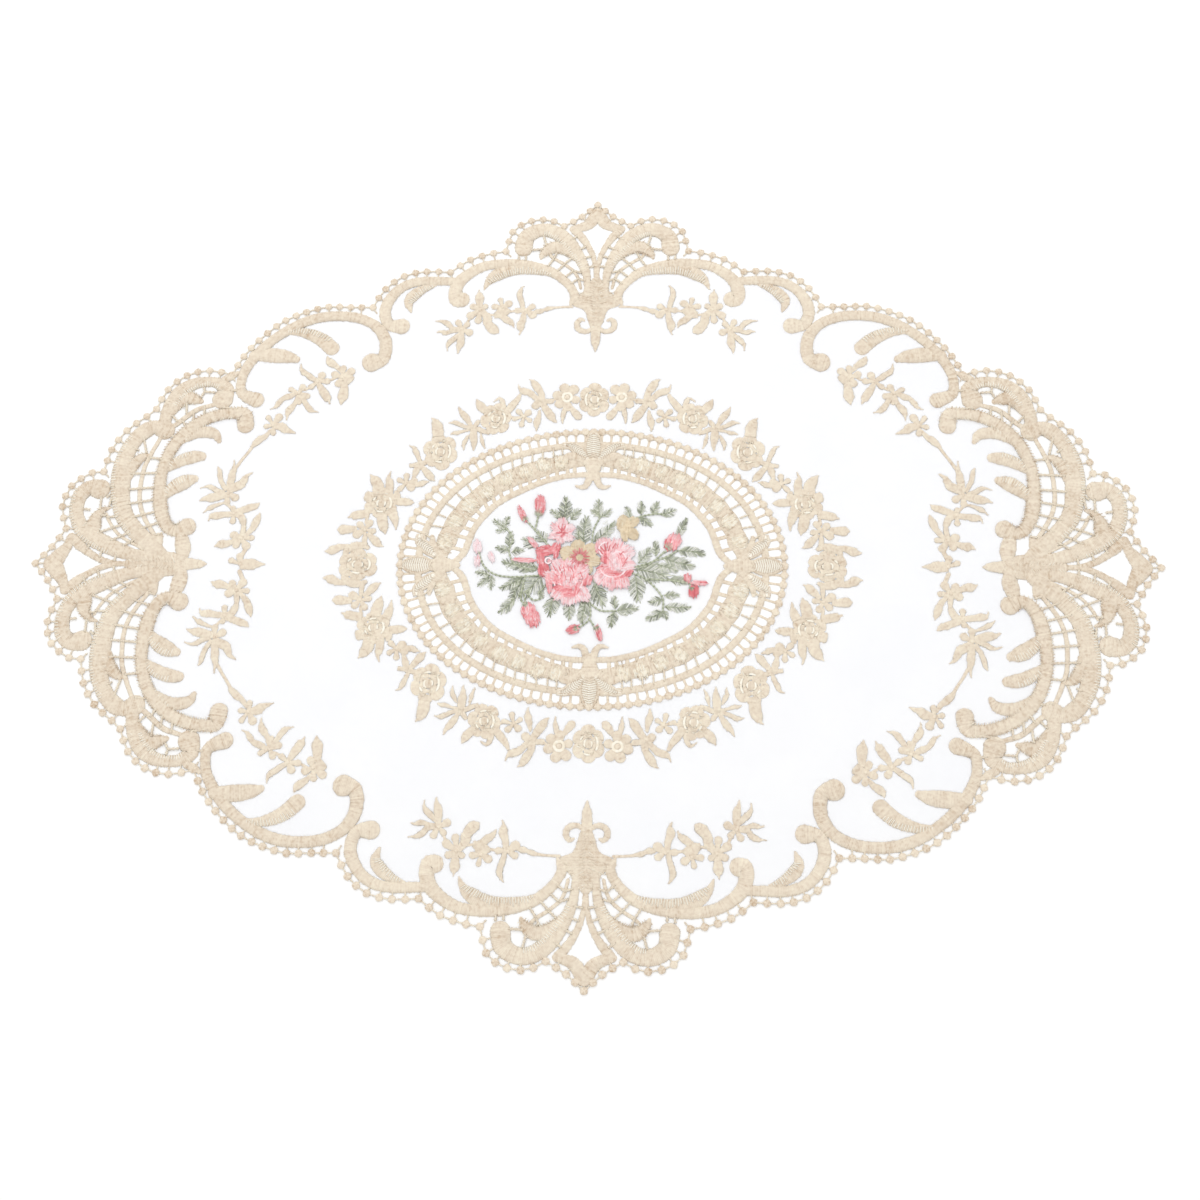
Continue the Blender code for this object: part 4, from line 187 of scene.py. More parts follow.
# Thread bars across the gaps: the two ends of each, x, y, x, y.
BARS = [
    (0.8, 134.2, 4.4, 133.6), (2.2, 139, 6, 137.8), (4.6, 143.6, 8.6, 141.6), (8.6, 148.6, 11.4, 146.6),
    (4.6, 127.2, 7.6, 128), (7.4, 128.4, 11, 125.6), (6.4, 131, 9.8, 132), (9.8, 132, 13, 129.2),
    (10.6, 138, 13.8, 135.2), (13.6, 135.2, 16.8, 131.8), (17, 140.6, 18.2, 138), (18.1, 138, 20.8, 134),
    (22.9, 149, 21.6, 144), (22.8, 142.4, 28, 142), (30.2, 139, 30.2, 136.8), (33.2, 139.4, 33, 137),
    (157.4, 75.3, 162.2, 75.7), (163.2, 73, 161.8, 75.6), (161.8, 75.6, 162.3, 78), (161.2, 69.4, 161, 65),
    (165.5, 67, 165.2, 62), (168.4, 65.6, 168.8, 70.6), (170, 63, 167.8, 59.4), (171.6, 62, 174.4, 65),
    (172.2, 55.6, 177, 55.4), (176, 45.3, 182, 46), (177.4, 39.2, 189, 38.8), (178, 32.8, 189, 31.9),
    (178, 27.4, 189, 25.5), (177, 22.2, 187, 19.6), (175, 17.6, 183, 14.6), (173, 13, 176, 12.2),
    (183.2, 48, 185.4, 55.8), (186.4, 49, 188.6, 50.4), (199.6, 23, 199.6, 28.8), (196, 29.6, 197.6, 28.4),
    (203.6, 23, 206.4, 23.4), (191, 20.3, 196.6, 19.8), (196.6, 20.6, 199, 20.6), (188.6, 17, 193.4, 15.3),
    (193.4, 15.3, 198.4, 13.4), (186.4, 13.2, 189.6, 11.8), (189.6, 11.8, 193.8, 9.6),
    (183.4, 10.6, 185.6, 9.2), (185.6, 9.2, 188.6, 7.4), (190.8, 4.6, 191.2, 1), (196.8, 5.6, 197.4, 2.6),
    (202, 8.4, 203, 5.6), (194.6, 33.4, 198, 33.2), (147.8, 76.4, 151, 76), (147, 67.8, 154, 68.6),
    (195.4, 29, 196, 24.6),
]

# Picot edge, from the short axis to the long one: beads after the last arc's end, and points of the arc.
PICOT_ARCS = [
    (4, [(0, 164), (6.6, 158.2), (14.2, 153.6)]),
    (7, [(14.2, 153.6), (18.4, 155.9), (23, 156.9), (27.6, 156.4), (32, 154.6), (36, 151.3), (38.8, 141.4)]),
    (5, [(38.8, 141.4), (44, 140.6), (53.9, 137.4), (62, 131.4)]),
    (8, [(62, 131.4), (72, 131.8), (81.5, 129.7), (89.3, 123.3), (94, 114.8)]),
    (15, [(94, 114.8), (104.3, 114.9), (114.3, 114.9), (128.3, 110), (138, 102.6), (146.3, 92.8),
          (151, 83.5)]),
    (8, [(151, 83.5), (160.3, 85.4), (169.5, 83.4), (177, 77), (181.2, 67.8)]),
    (7, [(181.2, 67.8), (185, 64.4), (192.6, 58), (197.8, 49.5), (200, 39.8)]),
    (7, [(200, 39.8), (205, 39.2), (212.5, 33.5), (215.2, 24.5), (212.5, 15)]),
    (4, [(212.5, 15), (217, 7.5), (223.2, 0)]),
]

# The closed line, inside the border's bands, that bounds the sheer ground.
GROUND_LINE = [
    (0, 112), (9, 116), (10.3, 121.5), (13.5, 127), (18.5, 131.7), (25, 134.6), (33, 136), (41, 136.2),
    (48, 134.6), (54, 131), (59, 126.8), (67, 127), (74, 127.2), (80, 125.8), (85, 121.7), (88.3, 116),
    (88.8, 110.5), (88.9, 105), (93, 106.8), (99.5, 110), (107, 111), (115, 110.6), (122.5, 108.3),
    (129.5, 104.4), (135.7, 99.6), (140.8, 94), (145, 87), (146.8, 80.5), (145.6, 74.5), (144.8, 70),
    (144.8, 66.6), (149.5, 66.2), (156, 65.4), (162.5, 62.6), (168.3, 57.7), (172.8, 51), (175.8, 43),
    (177, 35), (176.8, 27), (175, 20.5), (171.5, 15.5), (165.5, 14.5), (165.5, 10.5), (163.3, 7),
    (163.5, 1), (166, 0),
]

# Ovals of the medallion: half length, half width and roundness (2 is an ellipse).
BEAD_OVAL = (76.3, 57.7, 2.04)
OUTER_BAND = (69.0, 52.0, 2.1)
WIDE_BAND_MIDDLE = (59.3, 43.9, 2.12)
OUTER_BAND_WIDTH = 2.7
WIDE_BAND_WIDTH = 8.0
NARROWS = 2.8               # how much narrower the broad band is at the four points
NARROW_FROM = (22, 10)      # and from how far beside the short axis and the long one
SCALLOP = 0.8               # and between two blossoms, in full this far from them
SCALLOP_FROM = 4
RING_BEADS = 26             # beads of a quarter of the ring, between the two on the axes
RING_FIRST, RING_PITCH = 3.4, 3.955                 # where they start past the short axis, and go on
RIM = 1.5                   # width of a ribbed leaf's satin rim
RIB_STEP = 0.45             # half the way from one rib to the next

# Pale blossoms along a quarter of the broad band.
BLOSSOMS = [
    (13.2, 44.3), (20, 43.1), (27.5, 39.8), (35, 36.6), (42.5, 31.2), (49.6, 25.4), (54.6, 18.6), (58.4, 10),
]
BLOSSOM_LAYERS = ((3, 0.35, 0.64), (2.2, 0.37, 0.84))       # radius, height and tone of each layer of thread
SPECKS = 300                # odd stitches over the broad band
SPECK_TONES = (0.24, 0.36, 0.74, 0.9)

# The inner satin oval, which swings out to a cusp at the long axis: x, y and width.
INNER_BAND_ROWS = [
    (0, 38.8, 2.3), (5, 38.8, 2.3), (10, 38.4, 2.3), (15, 37.3, 2.3), (20, 35.8, 2.3), (25, 33.7, 2.4),
    (30, 31.2, 2.4), (35, 28.5, 2.4), (39.6, 25.2, 2.5), (43.6, 20.8, 2.6), (46.4, 17, 2.6), (48.3, 13, 2.6),
    (49.5, 9, 2.7), (50.9, 5.4, 2.7), (53.2, 2.5, 2.5), (56, 0, 2.2),
]

# Thread bars of a quarter of the medallion, from each band out to the next: the two ends of each, x, y, x, y.
LADDER = [
    (12.5, 47.6, 12.8, 51), (16.2, 46.6, 16.3, 50.8), (20.5, 45.4, 20.6, 50), (24.7, 44.2, 24.9, 48.8),
    (28.8, 42.8, 29.1, 47.4), (32.4, 41.2, 33.2, 45.8), (36.8, 38.8, 37.8, 43.6), (40.4, 36.8, 42.2, 41.4),
    (44.6, 33.8, 46.8, 37.8), (48.2, 30.6, 50.8, 34.4), (51.8, 27.8, 54.8, 30.4), (54.8, 23.8, 59.2, 26.4),
    (58.8, 20.2, 62.6, 21.8), (59.6, 15.9, 65, 16.8), (63.6, 10.6, 66.8, 13),
]
SLIT = [
    (7.4, 39.4, 7.6, 43.2), (10.3, 39, 10.4, 41.8), (14.4, 38, 14.8, 41), (18.2, 36.8, 18.6, 39.8),
    (21.8, 35.6, 22.3, 38.6), (25.2, 34.2, 25.8, 37.2), (28.9, 32.4, 29.7, 35.9), (32.4, 30.6, 33.5, 33.9),
    (36.2, 28.2, 37.4, 31.6), (39.1, 26, 40.2, 29), (42, 23.8, 43.5, 26.8), (44.4, 21.2, 46.4, 23.2),
    (46, 18.4, 50, 20.2), (48.2, 14.8, 52.4, 16.4), (49.8, 11.4, 55, 12.8), (51.4, 6.3, 56, 7.5),
]

# Filled stitching: the foot of the fleur, and the fan at the long axis: x, y and width.
FILLED = {
    "fleur_foot": [(0, 104, 2), (0, 106, 4.6), (0, 109, 6.8), (0, 112, 8.6), (0, 114, 11.6), (0, 115.4, 19),
                   (0, 117, 19.6), (0, 119, 18.6), (0, 121, 14), (0, 123, 10), (0, 126, 7), (0, 129, 2)],
    "fan": [(163, 0, 2.4), (165, 0, 6), (167, 0, 9.6), (170, 0, 10.4), (174, 0, 12.4), (178, 0, 12),
            (181, 0, 9.6), (184, 0, 6), (187, 0, 2.6)],
}

# How the bands differ. These endings of their names mark the lower, darker ones.
INNER_BANDS = ("crest_inner", "outer_inner", "scroll_inner", "_leaf", "_cap", "_strand")
INNER_CROWN = 0.8           # height of a lower band, as a share of the others'
INNER_SHADE = 0.06          # and how much darker it is
SIDE_BELOW = 95             # bands that start below this y lie at the side
SIDE_PAINTED_SHADE = 0.07           # and get this much painted shade, for the light falling off at the sides
FILLED_CROWN = 0.9          # height of a filled form, as a share of a broad band's
LAP = 0.02                  # how much the undersides of overlapping bands differ
SEAM_TONES = (0.1, 0.3, 0.4, 0.9)
CHEVRON_TONES = (0.3, 0.45, 0.6, 0.9)

# Bands with a loosely stitched edge: its side (left is 1), its depth, and the shares between which it runs.
FRINGES = {
    "band_a_leaf": (-1, 3.4, 0.1, 0.9), "crest": (-1, 2.4, 0.25, 0.75), "band_b_leaf": (-1, 2.6, 0.1, 0.8),
    "band_c_leaf": (-1, 3, 0.1, 0.9), "side_comma_3": (-1, 3.4, 0.2, 0.95),
    "side_comma_2": (-1, 2.4, 0.2, 0.8), "side_outer": (1, 2.2, 0.2, 0.8), "tip_scroll": (1, 2, 0.15, 0.7),
    "side_crest": (-1, 2.2, 0.2, 0.8),
}

# Stitching at the medallion's four points, plain and ribbed: x, y and width.
MEDALLION_FLEURS = {
    "side_stem": [(53.5, 0, 2.6), (57, 0, 5.6), (60.5, 0, 7), (63, 0, 5)],
    "side_spray": [(59.6, 3, 3.2), (62.2, 6, 3.2), (63.4, 9, 2.6), (64, 12, 1.6)],
    "top_stem": [(0, 37.6, 2.8), (0, 41, 5.6), (0, 44, 7), (0, 46.5, 5)],
    "top_spray": [(1.4, 43.6, 3.4), (5, 46, 3.8), (9, 47, 3.4), (12.6, 46, 1.6)],
    "top_curl": [(1.2, 39, 2.6), (1.7, 36.6, 2.8), (2.6, 34.4, 2.5), (4, 33.4, 2), (5.6, 33.5, 1.4),
                 (7, 34, 0.6)],
}
RIBBED_LEAVES = {
    "side_lens": [(62, 0, 2.4), (64.4, 0, 5), (66.6, 0, 7.2), (69, 0, 8), (71.2, 0, 7.4), (73.4, 0, 5.4),
                  (75.4, 0, 2.8), (77, 0, 0.8)],
    "side_wing": [(62, 4, 3), (64, 5.8, 4.6), (66.4, 7.8, 5), (68.8, 10, 3.8), (69, 13, 2.4)],
    "top_lens": [(0, 44.6, 3), (0, 47, 6), (0, 49.4, 7.6), (0, 52, 7.6), (0, 54.4, 6.4), (0, 56.4, 4.8),
                 (0, 57.6, 2.8), (0, 58.2, 0.8)],
    "top_wing": [(1.8, 45, 3), (4, 47.4, 4.4), (6.4, 49.8, 4.8), (9.2, 51.6, 3.6), (12.6, 52, 2)],
}

# Roses of the wreath: x, y, half length, half width and turn in degrees.
WREATH_ROSES = [
    (0, 72.2, 5.8, 7.2, 0), (40.2, 63.6, 5.9, 6.7, 20), (62.4, 48.8, 6.5, 7.6, 50),
    (85.2, 26.2, 6.5, 6.1, 10), (93.1, 0, 7.8, 6, 0),
]

# Flowers on the organza: the heart, and each petal's middle and half width.
FLOWERS = [
    ((28.8, 64.6), [(27, 66.4, 1.3), (31, 66.8, 1.2), (26.4, 62.9, 1), (29.6, 61, 1.1), (32.6, 63.6, 1)]),
    ((75.8, 34.8), [(75.6, 38.2, 1.2), (78.4, 36.4, 1.1), (72.4, 36, 1.3), (73.6, 33.2, 1.6),
                    (78, 32.6, 1.2)]),
    ((91.2, 14.8), [(89.3, 17.8, 1.3), (93.3, 17, 1.4), (87.9, 14.3, 1.2), (94.3, 12.9, 1.7),
                    (91, 11.8, 0.9)]),
    ((29.4, 113.5), [(26.8, 115.1, 1.3), (26.6, 111.3, 1.7), (33, 113.3, 1.3)]),
    ((39.4, 114.9), [(36.7, 116.5, 1.5), (40.2, 118.2, 1.1), (42.6, 115.1, 1.3)]),
    ((48.7, 113.6), [(46.6, 115.2, 1.2), (51.6, 115.1, 1.4), (52.6, 110.9, 1.6), (49.3, 108.6, 1.4)]),
    ((55.9, 104.6), [(57.6, 107.7, 1.3), (53.9, 106.8, 1.2), (52.8, 103, 1.5)]),
    ((105, 82.4), [(101.3, 85, 1.6), (104.6, 86.4, 1.3), (108, 83.6, 1.5), (106.2, 79.5, 1.5)]),
    ((114.9, 80.4), [(113.4, 83.2, 1.5), (111, 80.6, 1.3), (117.5, 78.1, 1.2)]),
    ((122.4, 75.2), [(121.1, 77.9, 1.3), (125.8, 76.8, 1.1), (119, 73.8, 1.3), (121.9, 70.9, 0.9)]),
    ((132, 60.6), [(129.9, 64.2, 1.6), (134.2, 64, 1.1), (134.8, 60.1, 1.1), (131.7, 57.2, 1.2)]),
    ((147.9, 30.6), [(144.9, 28.6, 1.5), (148.1, 26.6, 1.3)]),
    ((144.8, 21.6), [(145.3, 23.9, 1.1), (145, 18.4, 1.2)]),
    ((140.9, 11), [(143.9, 12.3, 1.6), (142.8, 8.2, 1.4), (136.8, 11.2, 1.2), (138.6, 7.7, 1.6)]),
    ((140.4, 0), [(140.8, 3.3, 1.4), (144, 1.5, 1.2)]),
    ((11.2, 73.2), [(8.5, 76.8, 2), (12.3, 77.4, 2), (15.2, 74.2, 1.9), (14.3, 70.4, 1.9), (11, 69, 1.9),
                    (7.7, 72.2, 1.7)]),
]

# Pale threads that part a rose's petals: share of its radius, start and span in degrees, and width.
ROSE_THREADS = [(0.62, 140, 76, 0.7), (0.6, 258, 40, 0.5), (0.55, 20, 30, 0.5), (0.27, -40, 100, 0.5),
                (0.24, 150, 70, 0.4)]
ROSE_TURNS = ((0, 1), (180, -1), (0, -1), (180, 1))         # how a rose is turned and wound in each quarter
STAR_RING = (11.2, 73.2)    # the flower whose heart has a pale ring round it
PETAL_WIDTHS = ((-0.7, 1.7), (0, 2.1), (0.7, 1.6), (1.05, 0.6))     # along a petal, in its half widths
ARC_SHARES = [k / 6 for k in range(7)]              # steps along a bent petal

# Leaves on the organza, from base to tip: x, y and width.
LEAVES = [
    [(0, 106, 4), (0, 102, 3.9), (0, 99, 3.4), (0, 96.6, 1.8), (0, 94, 0.4)],
    [(165, 0, 6), (161, 0, 4.6), (157.4, 0, 3.4), (155.4, 0, 2), (153.8, 0, 0.4)],
    # the wreath, from the short axis round
    [(10, 69.4, 1.2), (8.2, 66.8, 3), (6.6, 64.8, 3), (5.3, 63.6, 1)],
    [(11.8, 69, 1.8), (12.5, 66, 2), (12.9, 63.8, 1.2), (12.8, 61.4, 0.3)],
    [(21.6, 71.4, 3), (21.8, 74.4, 2.6), (22.9, 76.6, 3.3), (24.3, 78.8, 3), (25.6, 80.6, 1.2),
     (27, 81.4, 0.3)],
    [(22.6, 71.6, 2.4), (24.4, 73.2, 2.4), (26.6, 75.1, 3), (29, 76, 2.8), (30.6, 76.9, 1.2),
     (31.5, 79.1, 0.3)],
    [(22, 71.6, 2.4), (19.4, 71.5, 2.2), (17.6, 71.6, 2.3), (16.4, 71.9, 0.5)],
    [(22, 71.6, 3), (21, 69.8, 2.6), (19.5, 67.5, 3.3), (17.8, 65, 3.3), (16.7, 63.3, 1.7), (15.2, 62, 0.3)],
    [(22.4, 67.6, 0.6), (22.6, 65, 2.1), (23.2, 62.6, 2.8), (23.5, 60.4, 1.5), (23.4, 58, 0.3)],
    [(22.4, 71.4, 3.2), (24.2, 69.4, 2.9), (25, 68.2, 1.6)],
    [(30.4, 74.8, 1), (31.6, 72.4, 2.4), (33.2, 70.2, 3.1), (35, 67.8, 2.8), (36.4, 65.4, 1.6)],
    [(36.8, 68.6, 1.4), (37.7, 71, 2.1), (38.7, 72.7, 1.2), (40.1, 72.3, 0.8), (41.5, 71.2, 0.3)],
    [(44.4, 67, 3), (46.3, 68.8, 3.6), (47.6, 70.6, 2), (48.6, 72.4, 0.3)],
    [(50, 59.4, 2), (50.8, 61.2, 1.8), (51.9, 63.2, 2.7), (53.3, 65.1, 2.6), (54.8, 66.9, 1.5),
     (55.8, 69, 0.3)],
    [(50, 59.4, 1.8), (53.2, 60.2, 1.7), (56.3, 61.7, 2.1), (57.6, 61.9, 1.1), (59.6, 61.6, 0.3)],
    [(50.4, 58.7, 1.2), (53, 58.2, 1.2), (55.5, 57.4, 1.7), (57.3, 57.2, 1.2), (58.6, 56.6, 0.4)],
    [(51.2, 56.4, 0.5), (52.2, 54.2, 1.9), (53, 52.4, 1.5), (52.9, 49.6, 0.3)],
    [(49.2, 59, 2.6), (49.2, 56, 3.3), (48.8, 53, 2.2), (48.8, 51, 1.2), (48.8, 49.3, 0.3)],
    [(46.3, 57.4, 0.4), (45.7, 54.4, 1.6), (45, 52, 1), (44.2, 50.3, 0.3)],
    [(50.4, 59.5, 1.8), (47.5, 59, 2.1), (45.2, 58, 1.9), (42.6, 57, 1.2)],
    [(49, 60, 1.8), (47.9, 61.7, 1.9), (47.1, 63, 0.8)],
    [(63.6, 55.6, 4.6), (64, 59, 4.5), (64.8, 61.6, 3), (65.8, 63.1, 1.2), (66.9, 64, 0.3)],
    [(70.4, 43.6, 1.4), (71.3, 46.4, 1.9), (72.4, 48.8, 2.2), (73.4, 50.7, 1.1), (75.3, 51.6, 0.3)],
    [(70.2, 43, 1.8), (68, 40.3, 2.7), (66.3, 38.3, 3), (65, 36.8, 1.2), (64, 36.1, 0.3)],
    [(71, 43.4, 2.4), (69, 43.9, 2), (67.2, 44.4, 1.2)],
    [(70.6, 43.4, 2.4), (72.4, 43, 1.9), (74.8, 42.7, 1.5)],
    [(71, 43.2, 2), (71.8, 40.8, 2.7), (72.4, 38.6, 1.7), (72.8, 36.8, 1.4)],
    [(73, 34.2, 2), (69.9, 34.7, 2.5), (68.2, 35.4, 1.4), (66.4, 35.8, 0.3)],
    [(82.8, 26.6, 3.4), (82.4, 31, 3.3), (82.4, 35, 3), (82.9, 37.6, 1.3), (82.1, 40.3, 0.3)],
    [(86.6, 30, 4.6), (87, 33.6, 4.6), (88.3, 36.1, 3.5), (89.6, 37.7, 1.4), (90.7, 38.8, 0.3)],
    [(79, 27, 3.2), (76, 26.9, 3.3), (73.6, 26.7, 2), (72, 26.6, 0.4)],
    [(79, 27.6, 3), (79.2, 30.4, 2.2), (79.9, 31.8, 0.5)],
    [(80.6, 22.4, 3.8), (79.6, 19.8, 3.1), (79, 17.6, 1.6), (78.7, 14.8, 0.3)],
    [(84.8, 21.6, 4.2), (84.4, 18.6, 4.3), (83.8, 16.2, 3.4), (83.2, 14.5, 1.5), (82.9, 13, 0.3)],
    [(90, 21.9, 3.4), (93, 21.5, 3.6), (95.6, 21, 3.2), (97, 20.6, 1.3), (98.5, 20.1, 0.3)],
    [(88.6, 28.4, 4.2), (90.8, 29.2, 4.2), (92.2, 29.6, 2.6)],
    [(94.4, 15.3, 2), (97, 15.1, 3.5), (99.6, 14.9, 3.9), (101.2, 14.9, 2.3), (102.4, 14.8, 0.4)],
    [(90, 13.4, 1.6), (87.4, 10.8, 3.3), (86, 9.3, 2.9), (84.6, 8.2, 1.2), (83.2, 7.7, 0.3)],
    [(91, 12, 1.8), (90.8, 8.4, 2.2), (89, 6.8, 1.2)],
    [(90, 8.2, 2.4), (93.5, 8, 3.5), (96, 7.3, 3.2), (98, 5.8, 2.4), (98.6, 3.6, 1.4)],
    [(97, 7.8, 1.6), (100.4, 7.4, 2.9), (102.9, 6.4, 3.7), (104.9, 5.7, 1.9), (106.8, 5.7, 0.3)],
    # the sprig beside the fleur
    [(17.4, 114.6, 0.9), (19.8, 114.2, 2.1), (21.4, 113.7, 1.5), (23.2, 113, 2.5), (25.8, 112.6, 1.4)],
    [(30.3, 112.6, 1.7), (31.1, 116.5, 2.2), (32.1, 119.8, 2.4), (32.2, 121.8, 2.1), (31.5, 123.8, 0.9),
     (30.5, 125, 0.3)],
    [(30, 113.6, 2), (30.5, 109.5, 2.7), (31.3, 107, 3.4), (31.4, 105.2, 2.4), (31.2, 103.7, 1),
     (32, 101.8, 0.3)],
    [(39.4, 115, 2), (37.6, 112.8, 3.6), (36.6, 111.8, 2.2)],
    [(39.4, 114.6, 2.6), (40.5, 112, 3.8), (41.6, 110.6, 1.8), (42.5, 109.9, 0.4)],
    [(40, 111.4, 2.6), (37.7, 109.2, 3), (35.8, 107.9, 2.3), (34.7, 106.6, 1.1), (34.1, 105.2, 0.3)],
    [(49, 114.4, 1.8), (49.1, 118, 3.8), (49.2, 120.2, 2.8), (49.3, 121.7, 0.9), (49.6, 123.2, 0.3)],
    [(48.2, 113.6, 2), (46, 110.6, 3.7), (45.2, 107.8, 3.8), (43.6, 105.3, 4.4), (42, 103.9, 3.1),
     (40.5, 102.8, 0.6)],
    [(55.4, 104.4, 2.2), (59, 104.4, 2.9), (61.2, 104.6, 2.4)],
    [(60.4, 105.2, 2), (61.9, 107, 2.5), (63.9, 108.1, 1.7), (65.2, 108.3, 0.8), (67.4, 108.4, 0.3)],
    [(60, 103.6, 1.6), (62.7, 103, 2.2), (64.6, 103.5, 1.1), (66.6, 103.1, 0.3)],
    [(56.6, 102.6, 1.6), (59.2, 100.1, 2.5), (61, 98.2, 1.9), (61.8, 96.4, 0.8), (61.6, 94.4, 0.3)],
    [(56, 104.4, 2), (56.2, 100.4, 3.1), (56.3, 98, 3), (57, 95.6, 1.5), (57.2, 93.2, 0.3)],
    # the sprig inside the corner scallop
    [(105, 83.4, 2), (102.8, 81.8, 5), (101, 80.2, 3)],
    [(105.4, 84.6, 0.9), (107.5, 87.2, 2.5), (109.5, 88.7, 3.3), (111, 90, 2.2), (111.7, 92, 0.3)],
    [(103.6, 80.4, 2.4), (103.8, 76.6, 3.9), (104, 74.2, 4.2), (104.4, 72, 2.1), (104.6, 69.8, 0.3)],
    [(114.8, 80.4, 1.6), (117.4, 82, 2.5), (119.1, 83.3, 2.3), (121, 84.6, 2.4), (122.2, 86.1, 1.2),
     (122.5, 88.6, 0.3)],
    [(115, 80.4, 1.4), (113.4, 77.4, 3), (111.8, 75, 3.4), (110.6, 73, 3), (109.8, 71.8, 1.1),
     (109.1, 70.2, 0.3)],
    [(123.2, 75.4, 1.6), (126, 73.8, 2.7), (128.6, 72.7, 2), (130.2, 71, 2.3), (131.4, 69.2, 1.5),
     (132.6, 68.4, 0.6), (134, 67.8, 0.3)],
    [(121.6, 74.2, 2), (119.5, 70.8, 2.2), (118, 68.6, 2.6), (116.5, 67.2, 1.6), (115, 66.8, 0.6),
     (113.6, 66.4, 0.3)],
    [(122.2, 74.6, 2.2), (123.5, 70.8, 1.9), (125, 68.6, 3), (126.2, 66.8, 2.4), (126.5, 65, 1.1),
     (126.6, 62.8, 0.3)],
    [(132, 60.4, 2.4), (128.8, 59.9, 3.9), (126.6, 58.5, 2.6), (124.6, 57.8, 1.4), (122.3, 57, 0.3)],
    [(132.4, 59, 1), (134.6, 56, 2.2), (136.6, 54.5, 3), (138.4, 52.8, 2.4), (140.2, 50.8, 1)],
    # the garland beside the long axis
    [(148, 31.6, 2.4), (147.2, 36.6, 3.2), (147, 39, 2.6), (146.5, 41, 1.8), (146.6, 43, 0.8),
     (146.8, 45.2, 0.3)],
    [(148.8, 31.6, 1.8), (151.1, 35.4, 2), (152, 38.2, 2.1), (152.4, 40.4, 1.5), (153.3, 42.2, 0.3)],
    [(148.4, 31.2, 2.4), (145.4, 33, 3.7), (143.2, 34.2, 3.4), (141.9, 36.3, 2.6), (141, 38, 1.5),
     (138.6, 39.6, 0.3)],
    [(149.6, 30.4, 2.2), (152.8, 31.7, 2.2), (154.8, 32.9, 2), (156.8, 33.4, 1), (159.7, 32.6, 0.3)],
    [(148, 29.9, 2.4), (152.6, 28.9, 3.8), (155, 28.4, 3.2), (157.2, 28.1, 1.7), (159.4, 27.1, 0.3)],
    [(149, 26.4, 0.8), (152.2, 25.3, 1.6), (154.3, 24.3, 2.2), (155.8, 23.4, 1), (157.4, 21.9, 0.3)],
    [(144.6, 21.5, 2.4), (148.4, 21.2, 2.6), (151, 20.8, 3.2), (153.4, 20.6, 2.2), (154.4, 19.8, 0.8),
     (155, 18.4, 0.3)],
    [(145, 22, 2.4), (142.4, 20.8, 3), (141, 18.8, 2.6), (140.3, 16.6, 1.7)],
    [(144.6, 22, 2.6), (141.2, 23.2, 2.9), (138.6, 24.2, 3), (136.4, 24.9, 2.2), (134.7, 26.3, 0.3)],
    [(140.4, 17.6, 1.4), (140.4, 14.8, 2.2), (141, 11.6, 1.8)],
    [(140, 11.4, 1.6), (137, 14.9, 2.5), (135.8, 17.3, 3.1), (134.9, 19.6, 2.2), (134.1, 22, 0.3)],
    [(142.4, 10.6, 1.4), (145.6, 9.1, 2.8), (147.7, 8.6, 3.7), (149.6, 8.3, 2.1), (151.5, 7.4, 0.3)],
    [(140.4, 0, 4), (136.8, 0, 4.6), (134.4, 0, 3), (132.4, 0, 1.5), (130.2, 0, 0.3)],
]

# Thread stems on the organza: x, y and width along each.
STEMS = [
    [(10, 115.1, 1), (14.5, 114.9, 0.8), (18, 114.6, 1)],
    [(139.4, 51.6, 1.2), (141.3, 48.5, 1), (143.4, 45.5, 1), (145.2, 42.6, 1.2), (146.6, 40.6, 1.2)],
    [(148, 26, 1.2), (146.6, 24.4, 1), (145.2, 23, 1.2)], [(33.6, 113.2, 0.9), (36, 112.8, 0.9)],
    [(41.6, 111, 0.9), (45, 111.4, 0.9)], [(52.8, 110, 0.9), (54, 107.4, 0.9)],
    [(109.4, 81.2, 1), (107.4, 82.4, 1)], [(117.6, 78, 1), (120.4, 76.6, 1)],
    [(14.6, 73, 1), (17.4, 71.8, 1)], [(33, 64, 1), (36, 65, 1)], [(140.4, 3, 1.6), (139, 6, 1.6)],
    [(90.4, 21.6, 1.2), (91, 17.6, 1)], [(63, 47, 1), (69, 44.4, 1)], [(77, 33.6, 1), (79.6, 30.6, 1.2)],
]

